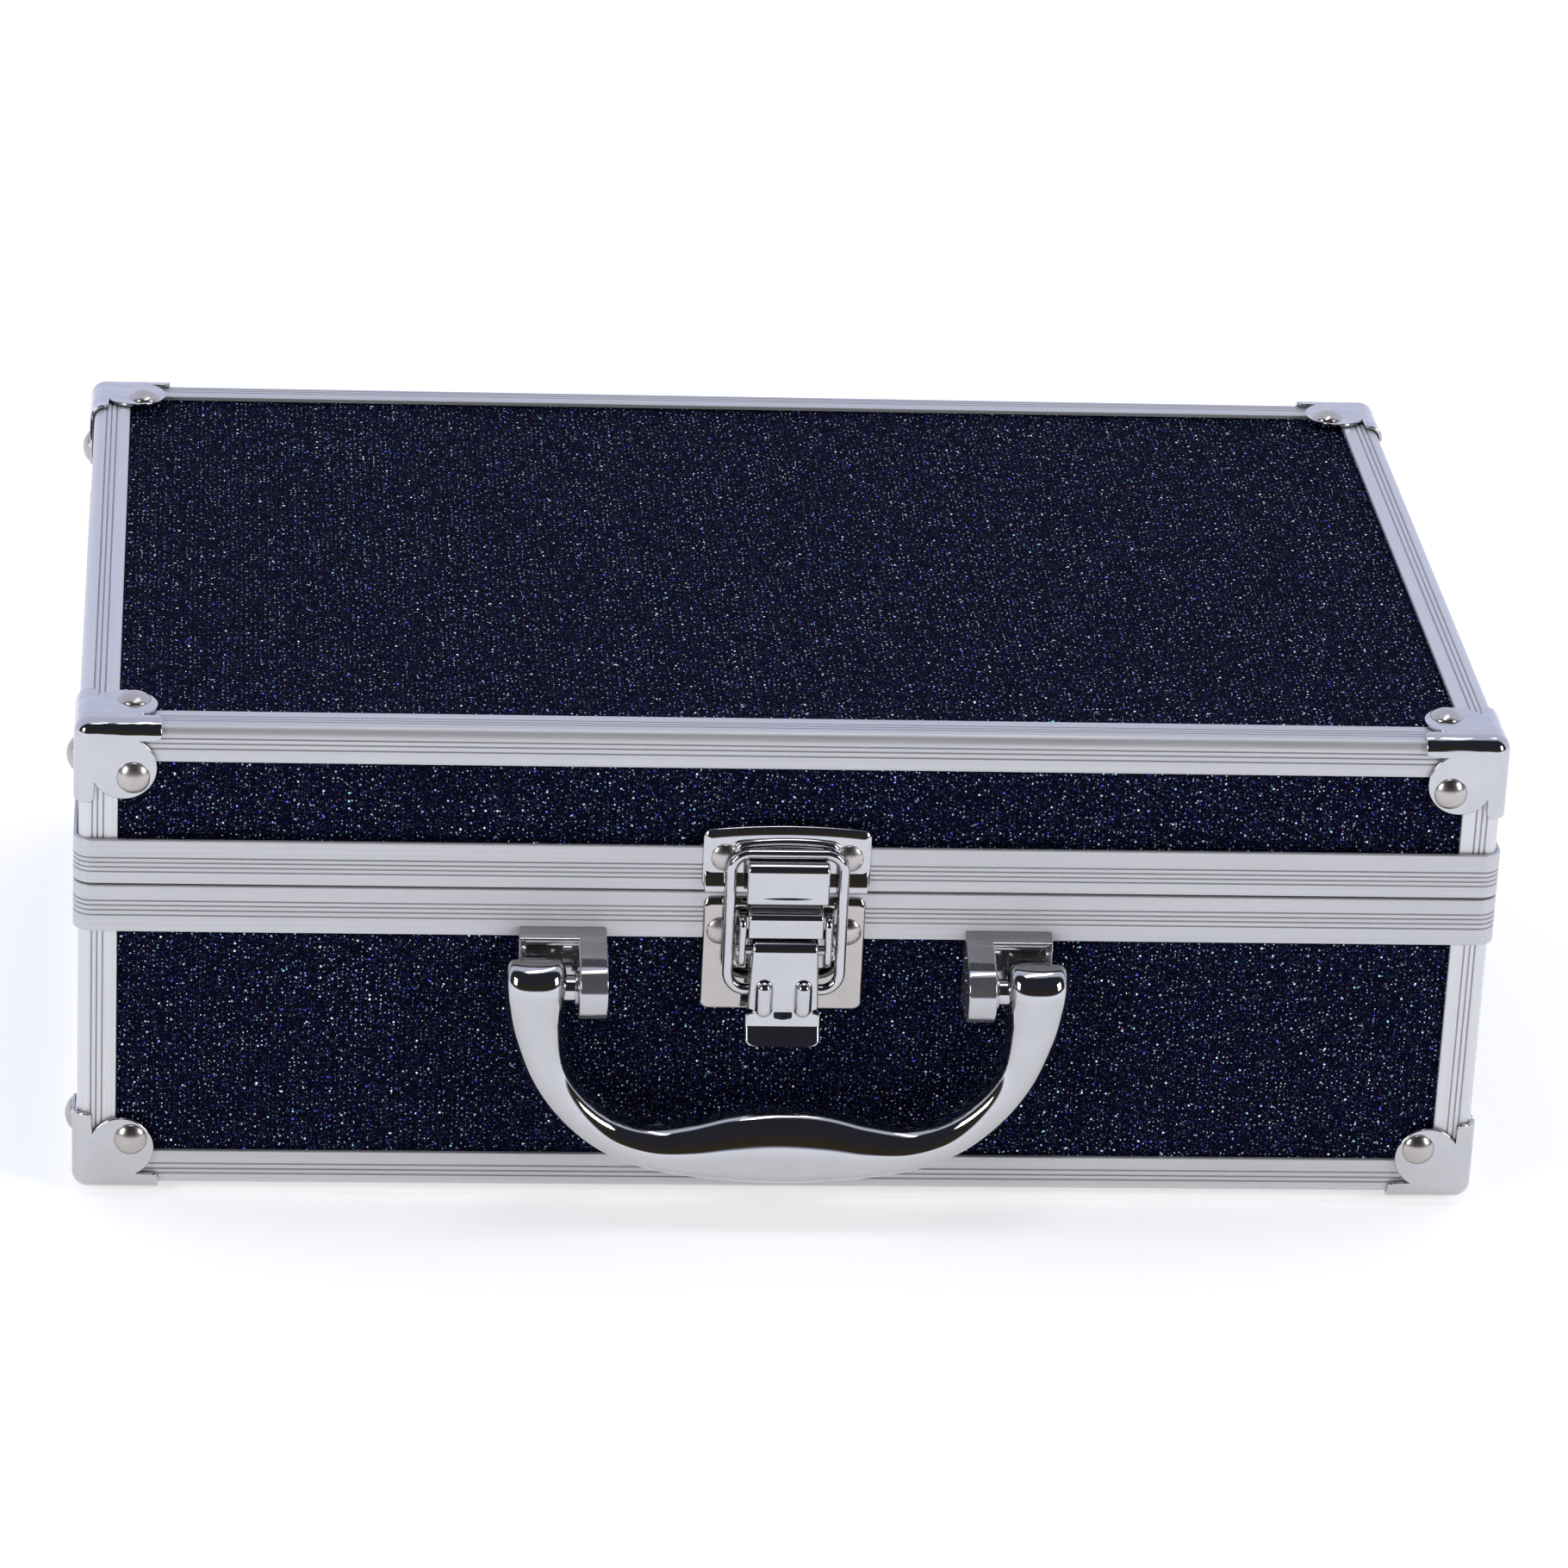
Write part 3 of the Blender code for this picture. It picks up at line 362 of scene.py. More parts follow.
def glitter(name, across_axis, up_axis, stretch=1.0, dark=1.0):
    """Near-black navy laminate, finely woven, full of white, blue and violet glitter whose flakes also glow:
    painted glints.
    """
    made, tree, shader = new_material(name, "glitter_laminate", (0.01, 0.011, 0.025), 0.0, 0.42)
    axes = add(tree, "ShaderNodeSeparateXYZ", {0: place_of(tree)}).outputs
    u, v = axes[across_axis], axes[up_axis]
    flat = add(tree, "ShaderNodeCombineXYZ", {0: u, 1: v}).outputs[0]
    ribs = maths(tree, "SINE", times(tree, u, 2 * math.pi / RIB_STEP))
    rows = maths(tree, "SINE", times(tree, v, 2 * math.pi / ROW_STEP))
    weave = ranged(tree, maths(tree, "ADD", ribs, times(tree, rows, 0.6)), -1.6, 1.6)
    mottle = ranged(tree, noise(tree, flat, 900.0, 3.0, 0.6), 0.35, 0.7)
    night, navy, thread = (tuple(c * dark for c in shade) for shade in CLOTH_SHADES)
    ground = mixed(tree, times(tree, weave, 0.45), mixed(tree, mottle, night, navy), thread)
    flakes = add(tree, "ShaderNodeCombineXYZ", {0: u, 1: times(tree, v, 1 / stretch)}).outputs[0]
    dust, dust_parts = sparkle_layer(tree, flakes, 0.55 * MM, 0.27, 0.4)
    flakes_and_glints, spark_parts = sparkle_layer(tree, flakes, 1.0 * MM, 0.155, 0.3)
    glints = sparkle_layer(tree, flakes, 2.6 * MM, 0.105, 0.45)[0]
    hues = add(tree, "ShaderNodeValToRGB", {0: spark_parts.outputs[1]})
    hues.color_ramp.interpolation = "CONSTANT"
    elements = hues.color_ramp.elements
    elements.remove(elements[1])
    elements[0].color = (*FLAKE_SHADES[0][1], 1)
    for share, shade in FLAKE_SHADES[1:]:
        elements.new(share).color = (*shade, 1)
    dusted = mixed(tree, times(tree, dust, 0.42 * dark), ground,
                   mixed(tree, dust_parts.outputs[2], (0.14, 0.20, 0.62), (0.34, 0.34, 0.42)))
    flakes_and_glints = maths(tree, "MAXIMUM", flakes_and_glints, glints)
    feed(tree, shader, {
        "Specular IOR Level": 0.002,
        "Base Color": mixed(tree, flakes_and_glints, dusted, hues.outputs[0]),
        "Metallic": ranged(tree, flakes_and_glints, 0.0, 1.0, 0.0, 0.6),
        "Roughness": ranged(tree, flakes_and_glints, 0.0, 1.0, 0.44, 0.22),
        # The flakes glow in their own hue, stronger where they are brighter: painted glints, with no lamp
        # behind them.
        "Emission Color": hues.outputs[0],
        "Emission Strength": times(tree, maths(tree, "POWER", flakes_and_glints, 2.0), 0.60),
    })
    bumped(tree, shader, maths(tree, "ADD", weave, times(tree, mottle, 0.5)), 0.05 * MM, 0.6)
    return made


def satin(run, dark):
    """Satin anodised aluminium, drawn along one axis; its base tone, dark, is set per axis as painted shade
    and light for how each run catches the light.
    """
    slot, pale = "satin_aluminium", dark + 0.085
    made, tree, shader = new_material("aluminium_along_" + run.lower(), slot, (dark, dark, dark), 0.60, 0.42)
    stretch = [1400.0] * 3
    stretch["XYZ".index(run)] = 6.0
    streaks = noise(tree, place_of(tree, stretch), 1.0, 3.0, 0.6)
    cloud = noise(tree, place_of(tree), 40.0, 3.0, 0.55)
    deep, bright = (dark, dark, dark + 0.008), (pale, pale, pale + 0.01)
    cloudy = (dark + 0.03, dark + 0.03, dark + 0.05)
    shade = mixed(tree, ranged(tree, streaks, 0.3, 0.7), deep, bright)
    fine, broad = ranged(tree, streaks, 0.25, 0.75, 0.40, 0.49), ranged(tree, cloud, 0.3, 0.7, -0.02, 0.03)
    feed(tree, shader, {"Base Color": mixed(tree, ranged(tree, cloud, 0.3, 0.75, 0.0, 0.35), shade, cloudy),
                        "Roughness": maths(tree, "ADD", fine, broad)})
    bumped(tree, shader, streaks, 0.02 * MM, 0.5)
    return made


def plated(name, slot, colour, worn, roughness, wave, swell=0.042):
    """Polished plate: faint waviness of a given height, haze and fine scratches."""
    made, tree, shader = new_material(name, slot, colour, 1.0, roughness)
    haze = noise(tree, place_of(tree), 120.0, 4.0, 0.6)
    scratch_place = place_of(tree, (3500.0, 250.0, 300.0))
    scratches = ranged(tree, noise(tree, scratch_place, 1.0, 2.0, 0.7), 0.62, 0.72)
    hazed = ranged(tree, haze, 0.35, 0.75, roughness * 0.7, roughness * 1.5)
    feed(tree, shader, {"Base Color": mixed(tree, ranged(tree, haze, 0.35, 0.75), colour, worn),
                        "Roughness": maths(tree, "ADD", hazed, times(tree, scratches, 0.05))})
    bumped(tree, shader, noise(tree, place_of(tree), wave, 1.0), swell * MM)
    return made


def foam(name, colour):
    """Open-cell foam: dark cells between paler struts; the darker colour of the sunken parts is painted shade
    in the pores.
    """
    made, tree, shader = new_material(name, "charcoal_foam", colour, 0.0, 0.95)
    cells = add(tree, "ShaderNodeTexVoronoi", {"Vector": place_of(tree), "Scale": 1100.0}, feature="F1")
    pores = ranged(tree, cells.outputs["Distance"], 0.15, 0.6)
    cloud = ranged(tree, noise(tree, place_of(tree), 55.0, 3.0), 0.3, 0.7)
    # deep is painted shade where the bump sinks in, pale the raised struts.
    pale, deep, dusty = (tuple(c * share for c in colour) for share in (1.9, 0.45, 1.3))
    shade = mixed(tree, times(tree, cloud, 0.4), mixed(tree, pores, pale, deep), dusty)
    feed(tree, shader, {"Base Color": shade, "Roughness": ranged(tree, pores, 0.0, 1.0, 1.0, 0.85),
                        "Sheen Weight": 0.15})
    bumped(tree, shader, times(tree, pores, -1.0), 0.5 * MM, 0.8)
    return made


def shadow(name):
    """Painted shadow for the dark inside of a slot or crease, a little uneven."""
    made, tree, shader = new_material(name, "chrome", (0.012, 0.014, 0.024), 0.3, 0.55)
    cloud = ranged(tree, noise(tree, place_of(tree), 900.0, 2.0), 0.3, 0.7)
    shade = mixed(tree, cloud, (0.008, 0.009, 0.014), (0.018, 0.022, 0.040))
    feed(tree, shader, {"Specular IOR Level": 0.1, "Base Color": shade})
    return made


def floor_material():
    """Pale seamless floor with a trace of mottling."""
    made, tree, shader = new_material("floor", "", (0.9, 0.9, 0.9), 0.0, 0.9)
    mottle = ranged(tree, noise(tree, place_of(tree), 3.0, 3.0), 0.3, 0.7)
    feed(tree, shader, {"Base Color": mixed(tree, mottle, (0.90, 0.90, 0.90), (0.915, 0.915, 0.915)),
                        "Specular IOR Level": 0.1, "Emission Color": (1.0, 1.0, 1.0, 1),
                        "Emission Strength": FLOOR_GLOW})
    return made


LAMINATE_FRONT = glitter("laminate_front", 0, 2)
LAMINATE_SIDE = glitter("laminate_side", 1, 2)
# The top board's laminate is a copy of the same laminate made 5 % darker: painted shade.
LAMINATE_TOP = glitter("laminate_top", 0, 1, 1.35, 0.95)
LAMINATES = {"front": LAMINATE_FRONT, "back": LAMINATE_FRONT, "left": LAMINATE_SIDE, "right": LAMINATE_SIDE}
# Rails along x get the darkest base tone and posts along z the lightest: painted shade and light standing in
# for how differently each run of brushed metal catches the light.
SATIN = {run: satin(run, dark) for run, dark in (("X", 0.52), ("Y", 0.58), ("Z", 0.64))}
CHROME = plated("chrome_plate", "chrome", (0.53, 0.53, 0.54), (0.49, 0.49, 0.495), 0.05, 90.0)
STAMPED = plated("stamped_chrome", "chrome", (0.53, 0.53, 0.54), (0.49, 0.49, 0.495), 0.05, 150.0, 0.5)
WARM = plated("warm_plate", "chrome", (0.48, 0.45, 0.425), (0.43, 0.40, 0.375), 0.06, 90.0)
CAST = plated("cast_chrome", "chrome", (0.50, 0.50, 0.515), (0.46, 0.46, 0.47), 0.06, 60.0)
CAST.node_tree.nodes["Principled BSDF"].inputs["Metallic"].default_value = 0.84
NICKEL = plated("nickel_plate", "nickel", (0.50, 0.47, 0.445), (0.43, 0.40, 0.38), 0.27, 60.0)
SHADOW = shadow("latch_recess_painted_shadow")
FOAM = foam("tray_foam", (0.035, 0.036, 0.040))


# --- Shell ---
def finish_panels():
    """The boards keep their CAD shape and get the glitter laminate."""
    for node, cad in frame["nodes"].items():
        if node.endswith("_panel"):
            cad.data.materials.clear()
            cad.data.materials.append(LAMINATES.get(node.split("_")[1], LAMINATE_TOP))


def groove(at, step):
    """A shallow round-bottomed groove across a leg, walked in the direction of step."""
    return [(at + step * GROOVE_HALF * across_it, GROOVE_DEPTH * depth)
            for across_it, depth in ((-1, 0), (-0.7, 0.8), (0, 1), (0.7, 0.8), (1, 0))]


def rail_section():
    """Grooved L section with its outer corner at the origin."""
    tip = 0.25
    outer = [(RAIL_LEG, tip), (RAIL_LEG - tip * 0.3, tip * 0.3), (RAIL_LEG - tip, 0)]
    for at in reversed(RAIL_GROOVES):
        outer += groove(at, -1)
    corner = arc((EDGE_RADIUS, EDGE_RADIUS), EDGE_RADIUS, 270, 180, 12)
    inner = arc((EDGE_RADIUS, EDGE_RADIUS), EDGE_RADIUS - RAIL_WALL, 180, 270, 6)
    far = [(v, u) for u, v in reversed(outer)]
    return outer + corner + far + [(RAIL_WALL, RAIL_LEG)] + inner + [(RAIL_LEG, RAIL_WALL)]


def extrude(node, body, run, place):
    """A rail along one axis, as long as its CAD node; place puts (u, v, along) in the case."""
    ends = [corner["XYZ".index(run)] for corner in case_box(node)]
    rings = [[place(u, v, end) for u, v in rail_section()] for end in ends]
    piece(node + "_extrusion", Shape().skin(rings), body, SATIN[run], node)


def make_rails():
    """Eight long rails and eight corner posts."""
    for half, body, edge, up in HALVES:
        for face, y, sign in FRONT_BACK:
            extrude(f"{half}_{face}_rail", body, "X", lambda u, v, w: (w, y + sign * u, edge + up * v))
        for side, x, turn in LEFT_RIGHT:
            extrude(f"{half}_{side}_rail", body, "Y", lambda u, v, w: (x + turn * u, w, edge + up * v))
        for side, x, turn in LEFT_RIGHT:
            for face, y, sign in FRONT_BACK:
                node = f"{half}_{face}_{side}_post"
                extrude(node, body, "Z", lambda u, v, w: (x + turn * u, y + sign * v, w))


def rim_path(distance):
    """A rounded rectangle, inset from the rail planes."""
    radius = max(EDGE_RADIUS + 0.6 - distance, 0.5)
    half_x, half_y = WIDTH / 2 - distance - radius, DEPTH / 2 - distance - radius
    path = []
    for quarter, (sx, sy) in enumerate(QUARTERS):
        centre = (sx * half_x, DEPTH / 2 + sy * half_y)
        path += arc(centre, radius, 90 * quarter, 90 * quarter + 90, 10)
    return path


def rim_face(low, high, grooves):
    """The rim's outer face from its low edge to its high one, with soft edges and grooves."""
    soft, out = 0.3, -RIM_PROUD
    face = [(out + soft, low), (out + soft * 0.3, low + soft * 0.3), (out, low + soft)]
    for at in sorted(grooves):
        face += [(out + depth, along) for along, depth in groove(at, 1)]
    return face + [(out, high - soft), (out + soft * 0.3, high - soft * 0.3), (out + soft, high)]


def make_rims():
    """The two mating rims, each one sweep round the case."""
    base_low, base_high = case_box("base_rim")
    low = case_box("lid_rim")[0].z
    inner, wall, lip = 5.5, 0.8, 6.8
    top = low - 2 * (low - SPLIT)
    web, leg = top - RIM_WEB, SPLIT - RIM_LEG
    base = rim_face(base_low.z, top, [SPLIT - depth for depth in BASE_GROOVES])
    base += [(lip, top), (lip, base_high.z - 0.3), (lip + 0.3, base_high.z), (lip + wall, base_high.z - 0.2),
             (lip + wall, web), (inner + wall, web), (inner + wall, leg), (inner, leg), (inner, web),
             (-GAP, web), (-GAP, base_low.z)]
    web, leg, crest = low + RIM_WEB, SPLIT + RIM_LEG, SPLIT + LID_CREST
    lid = rim_face(low, crest, [SPLIT + rise for rise in LID_GROOVES])
    lid += [(-GAP, crest), (-GAP, web), (inner, web), (inner, leg), (inner + wall, leg), (inner + wall, low)]
    for node, body, section in (("base_rim", "case_base", base), ("lid_rim", "lid", lid)):
        loops = [[(x, y, z) for x, y in rim_path(distance)] for distance, z in section]
        piece(node + "_extrusion", Shape().skin(loops, closed=True), body, SATIN["X"], node)


# --- Corner caps ---
CAP_WALL, CAP_EDGE = 0.8, 0.22
CAP_OUT = GAP + CAP_WALL
CAP_REACH, CAP_FINGER, CAP_TIP = 17.3, 3.2, 1.3
NOTCH = (12.9, 3.3)
LOBE_CENTRE, LOBE_RADIUS = 9.3, 7.0
RIVET_PLACE, RIVET_RADIUS, RIVET_HEAD = 11.4, 3.5, 1.65
FOOT_HEAD = 1.05      # the lower rivets, which the case stands on, are flatter


def rounded_block(name, low, radius, high):
    """A cube whose three edges at its low corner are rounded."""
    mesh = bpy.data.meshes.new(name)
    work = bmesh.new()
    bmesh.ops.create_cube(work, size=high - low)
    bmesh.ops.translate(work, verts=work.verts, vec=((high + low) / 2,) * 3)
    corner = min(work.verts, key=lambda v: sum(v.co))
    edges = list(corner.link_edges)
    bmesh.ops.bevel(work, geom=edges, offset=radius, segments=10, profile=0.5, affect="EDGES")
    bmesh.ops.recalc_face_normals(work, faces=work.faces)
    work.to_mesh(mesh)
    work.free()
    return mesh


def cap_outline():
    """One face of the cap: two fingers along the edges and a round lobe between them."""
    outside = -3.2
    start = math.degrees(math.atan2(NOTCH[1] - LOBE_CENTRE, NOTCH[0] - LOBE_CENTRE))
    lobe = arc((LOBE_CENTRE, LOBE_CENTRE), LOBE_RADIUS, start, 90 - start, 30)
    tip = arc((CAP_REACH - CAP_TIP, CAP_FINGER - CAP_TIP), CAP_TIP, 0, 90, 6)
    points = [(outside, outside), (CAP_REACH, outside)] + tip + lobe
    return points + [(v, u) for u, v in reversed(tip)] + [(outside, CAP_REACH)]


def combine(target, mesh, operation):
    """Cut or join a mesh into target and apply it."""
    tool = new_object("tool", mesh)
    modify(target, operation, "BOOLEAN", operation=operation, solver="EXACT", object=tool)
    result = applied(target)
    target.modifiers.clear()
    target.data = result
    bpy.data.objects.remove(tool)


def cap_pattern():
    """Stamped cap for the corner at the origin, in millimetres, its faces along +x, +y and +z."""
    block = 22.0
    cap = new_object("cap", rounded_block("cap", -CAP_OUT, EDGE_RADIUS + CAP_OUT, block))
    combine(cap, rounded_block("hollow", -GAP, EDGE_RADIUS + GAP, block + 2), "DIFFERENCE")
    outline, levels = cap_outline(), (-3.4, EDGE_RADIUS - 0.6)
    count = len(outline)
    faces = [(k, (k + 1) % count, (k + 1) % count + count, k + count) for k in range(count)]
    faces += [tuple(range(count)), tuple(range(count, 2 * count))]
    keep = None
    for order in ((0, 1, 2), (1, 2, 0), (2, 0, 1)):
        points = [[(u, v, w)[order.index(k)] for k in range(3)] for w in levels for u, v in outline]
        mesh = closed_mesh("keep", points, faces)
        if keep is None:
            keep = new_object("keep", mesh)
        else:
            combine(keep, mesh, "UNION")
    combine(cap, keep.data, "INTERSECT")
    mesh = cap.data
    for spare in (cap, keep):
        bpy.data.objects.remove(spare)
    return mesh


def rivet_profile(radius, head, seat):
    """Closed profile of a domed rivet head, from its seat up to its crown."""
    edge, steps = 0.15, 14
    ball = (radius ** 2 + (head - edge) ** 2) / (2 * (head - edge))
    reaches = [radius * (1 - k / steps) for k in range(steps)]
    dome = [(reach, seat + head - ball + math.sqrt(ball ** 2 - reach ** 2)) for reach in reaches]
    return [(radius, seat - 0.3)] + dome + [(0.04, seat + head)]


def make_caps():
    """Eight chrome caps with three nickel rivets each."""
    pattern = cap_pattern()
    for half, body, edge, up in HALVES:
        for face, y, sign in FRONT_BACK:
            for side, x, turn in LEFT_RIGHT:
                node = f"{half}_{face}_{side}_corner"
                signs, corner = Vector((turn, sign, up)), Vector((x, y, edge))
                mesh = pattern.copy()
                mesh.transform(Matrix.Translation(put(corner)) @ Matrix.Diagonal((*(signs * MM), 1)))
                if turn * sign * up < 0:
                    mesh.flip_normals()
                cap = dress(node + "_cap", mesh, body, STAMPED, node, sharp=35, flat=False)
                modify(cap, "Rounded edges", "BEVEL", width=CAP_EDGE * MM, segments=2,
                       limit_method="ANGLE", angle_limit=math.radians(50))
                keep_flat(cap)
                rivets = Shape()
                for axis in range(3):
                    place, out = corner + signs * RIVET_PLACE, Vector()
                    place[axis], out[axis] = corner[axis], -signs[axis]
                    head = FOOT_HEAD if axis == 2 and half == "base" else RIVET_HEAD
                    rivets.lathe(rivet_profile(RIVET_RADIUS, head, CAP_OUT), place, out)
                piece(node + "_rivets", rivets, body, NICKEL, node, sharp=60, flat=False)


# --- Hinges ---
LEAF = 0.8      # thickness of a leaf


def make_hinges():
    """Two riveted hinges: leaves, knuckles and a headed pin."""
    back = DEPTH + RIM_PROUD + GAP
    for name in ("left_hinge", "right_hinge"):
        pin_low, pin_high = case_box(name + "_pin")
        length = pin_high.x - pin_low.x
        third = length / 3
        for half, body, _, inwards in HALVES:
            node, up = f"{name}_{half}_leaf", -inwards
            low, high = case_box(node)
            middle = (low.x + high.x) / 2
            near, far = SPLIT + up * 2.4, SPLIT + up * 9.0
            corners = [(low.x, near, 0), (high.x, near, 0), (high.x, far, 1.4), (low.x, far, 1.4)]
            shape = Shape().slab(rounded(corners), back, back + LEAF, behind, 0.18)
            spans = [(-1.5 * third, -third / 2), (third / 2, 1.5 * third)]
            if half == "base":
                spans = [(-third / 2 + GAP, third / 2 - GAP)]
            for start, end in spans:
                web = [(-out, z) for out, z in ((back, SPLIT + up * 3.2), (back, SPLIT), (back + LEAF, SPLIT),
                                                (back + LEAF, SPLIT + up * 3.2))]
                shape.slab(web, middle + start, middle + end, across, 0.1)
                long = end - start
                knuckle = [(1.3, 0), (1.85, 0), (2.0, 0.15), (2.0, long - 0.15), (1.85, long), (1.3, long)]
                rings = [[(middle + start + along, HINGE_AXIS.y + c * radius, SPLIT + s * radius)
                          for c, s in circle(40)] for radius, along in knuckle]
                shape.skin(rings, closed=True)
            piece(node + "_plate", shape, body, NICKEL, node, sharp=45)
            rivets = Shape()
            for x in (-third, third):
                place = (middle + x, back, SPLIT + up * 5.7)
                rivets.lathe(rivet_profile(2.0, 0.85, LEAF), place, (0, 1, 0), 28)
            piece(node + "_rivets", rivets, body, NICKEL, node, sharp=60, flat=False)
        head = [(0.3, -0.25), (0.8, -0.2), (1.15, 0.0), (1.2, 0.15)]
        pin = Shape().lathe(headed(head, length), (pin_low.x, HINGE_AXIS.y, SPLIT), (1, 0, 0), 28)
        piece(name + "_pin_rod", pin, "case_base", NICKEL, name + "_pin")


# --- Latch ---
PLATE_FRONT, PLATE_WALL, PLATE_CORNER = 2.2, 0.8, 1.9
KEEPER = case_box("latch_keeper")
LATCH_BASE = case_box("latch_base_plate")
BAIL = case_box("latch_bail")
SHELF, HOOK_FRONT, HOOK_HALF = 80.0, 8.75, 8.7
LEVER_BARREL, LEVER_HALF, LEVER_WALL = 2.8, 7.0, 0.9
LEVER_BEND, TAB_BEND = 46.6, 43.4
TAB_HALF, TAB_LOW, TAB_FRONT, TAB_CORNER = 8.05, 39.7, 11.9, 1.9
NOTCH_UP, NOTCH_DEPTH = 8.1, 0.9      # the notch's place above the tab's end
LEVER_STEP = 0.3        # spacing of the sheet's points down the lever
LEVER_FLARE = 0.5       # how much each edge of the lever spreads on the way down
RIB_LOW, RIB_HIGH = 45.6, 54.2
SLOT_LOW, SLOT_HIGH = 45.0, 46.7
BAIL_TOP_Y = -4.8       # where the wire's upper run stands behind the hook


def line(start, end, steps):
    """Points from start towards end, without the end."""
    a, b = Vector(start), Vector(end)
    return [tuple(a.lerp(b, k / steps)) for k in range(steps)]


def bent(corners, steps=8):
    """An open path through (u, v, radius) corners, each bend an arc."""
    path = [corners[0][:2]]
    for before, (u, v, radius), after in zip(corners, corners[1:], corners[2:]):
        path += corner_arc(before, (u, v), after, radius, steps)
    return path + [corners[-1][:2]]


def strip(shape, path, halves, wall):
    """A sheet along a (forward, height) path; its side edges roll back from its outer face."""
    rings = []
    for k, (out, z) in enumerate(path):
        run = heading(path, k)
        normal = Vector((-run.y, run.x))
        ring = []
        for quarter, (sx, sn) in enumerate(QUARTERS):
            corner = wall * (0.9 if sn > 0 else 0.05)
            centre = (sx * (halves[k] - corner), sn * (wall / 2 - corner))
            for x, n in arc(centre, corner, 90 * quarter, 90 * quarter + 90, 6):
                ring.append((LATCH_X + x, -(out + normal.x * n), z + normal.y * n))
        rings.append(ring)
    return shape.skin(rings)


def latch_outline(half, low, high, radius, arch):
    """Front view of a latch plate: rounded corners, and a top edge that may rise in the middle."""
    left, right, top = LATCH_X - half + radius, LATCH_X + half - radius, high - arch
    outline = arc((left, low + radius), radius, 180, 270, 6) + arc((right, low + radius), radius, 270, 360, 6)
    outline += arc((right, top - radius), radius, 0, 75, 6)
    reach = half - radius * (1 - math.cos(math.radians(75)))
    for k in range(9, -10, -1):
        share = k / 10
        outline.append((LATCH_X + reach * share, top + arch * (1 - share ** 2)))
    return outline + arc((left, top - radius), radius, 105, 180, 6)


def rolled_plate(shape, box, arch, back, lower, behind_top):
    """A latch plate whose rim curves back, fully along its top and by share lower elsewhere."""
    half, low, high = (box[1].x - box[0].x) / 2, box[0].z, box[1].z
    bow, lip, tilt, steepest = 4.0, 0.55, math.radians(36), math.radians(84)
    profile, cut, drop = [(0.0, 0.0)], 0.0, 0.0
    leans = [steepest + (tilt - steepest) * k / 6 for k in range(7)]
    leans += [tilt * (1 - k / 9) for k in range(1, 10)]
    for k in range(1, len(leans)):
        bend = lip if k < 7 else bow
        cut += bend * (math.sin(leans[k - 1]) - math.sin(leans[k]))
        drop += bend * (math.cos(leans[k]) - math.cos(leans[k - 1]))
        profile.append((cut, drop))
    middle, deepest = (low + high) / 2, drop
    edge = latch_outline(half, low, high, PLATE_CORNER, arch)
    rings = [[(u, -(behind_top if v > middle else back), v) for u, v in edge]]
    for cut, drop in profile:
        side = cut * lower
        outline = latch_outline(half - side, low + side, high - cut, max(PLATE_CORNER - side, 0.05), arch)
        rings.append([(u, -(PLATE_FRONT - (deepest - drop) * (1.0 if v > middle else lower)), v)
                      for u, v in outline])
    return shape.skin(rings)


def make_keeper():
    """Lid plate: rolled rim, raised pad and the hook that the bail hangs on."""
    left, right, low = KEEPER[0].x, KEEPER[1].x, KEEPER[0].z
    shape = Shape()
    rolled_plate(shape, KEEPER, 0.9, 1.3, 0.8, -0.7)
    pad = [(2.0, 76.2), (2.25, 75.9), (2.5, 75.2), (2.85, 74.3), (3.15, 73.4), (3.3, 72.7), (3.3, 72.0),
           (3.1, 71.75), (2.0, 71.75)]
    shape.slab(pad, left + 0.4, right - 0.4, across, 0.5)
    under, front = SHELF - PLATE_WALL / 2, HOOK_FRONT - PLATE_WALL / 2
    path = bent([(PLATE_FRONT, under, 0), (4.5, under, 0.8), (6.4, SHELF + 0.1, 0.8),
                 (front, SHELF + 0.1, 1.75), (front, low, 0)], 14)
    strip(shape, path, [HOOK_HALF] * len(path), PLATE_WALL)
    foot, top = 72.4, 78.6
    cheek = rounded([(PLATE_FRONT, foot, 0), (4.4, foot, 1.2), (5.2, top, 0.8), (PLATE_FRONT, top, 0)], 5)
    for side in (-1, 1):
        x = LATCH_X + side * (HOOK_HALF - 0.9)
        shape.slab(cheek, x - 0.4, x + 0.4, across, 0.15)
    make_hump(shape)
    piece("latch_keeper_plate", shape, "lid", CHROME, "latch_keeper")
    # A thin dark strip low on the hook's front: painted shadow of a crease there, not a cut in the plate.
    reach = 5.2
    shares = [k / 8 for k in range(-8, 9)]
    upper = [(LATCH_X + reach * share, low + 1.25 + 0.25 * (1 - share ** 2)) for share in shares]
    lower = [(u, v - 0.5 * (1 - share ** 2) - 0.04) for share, (u, v) in zip(shares, upper)]
    crease_shadow = Shape().slab(upper + lower[::-1], HOOK_FRONT - 0.2, HOOK_FRONT + 0.03, facing, 0.01)
    piece("latch_keeper_crease_shadow", crease_shadow, "lid", SHADOW, "latch_keeper")


def make_hump(shape):
    """The bead that arches over the hook, pressed into the keeper plate."""
    reach, low, high, rise, bead = 10.3, 79.6, 82.3, 0.7, 1.15
    crown = [(reach * k / 6, high + rise * (1 - (k / 6) ** 2)) for k in range(-4, 5)]
    first = bent([(-reach - 0.5, low, 0), (-reach, high - 0.2, 2.2), (*crown[0], 0)], 8)
    last = bent([(*crown[-1], 0), (reach, high - 0.2, 2.2), (reach + 0.5, low, 0)], 8)
    path = first + crown[1:-1] + last
    rings = []
    for k, point in enumerate(path):
        run = heading(path, k)
        side = Vector((-run.y, run.x))
        swell = bead * math.sin(math.pi / 2 * min(1.0, (min(k, len(path) - 1 - k) + 0.3) / 3))
        spots = [(Vector(point) + side * c * swell, s * swell) for c, s in circle(16)]
        rings.append([(LATCH_X + at.x, -(PLATE_FRONT - 0.1 + out), at.y) for at, out in spots])
    shape.skin(rings)


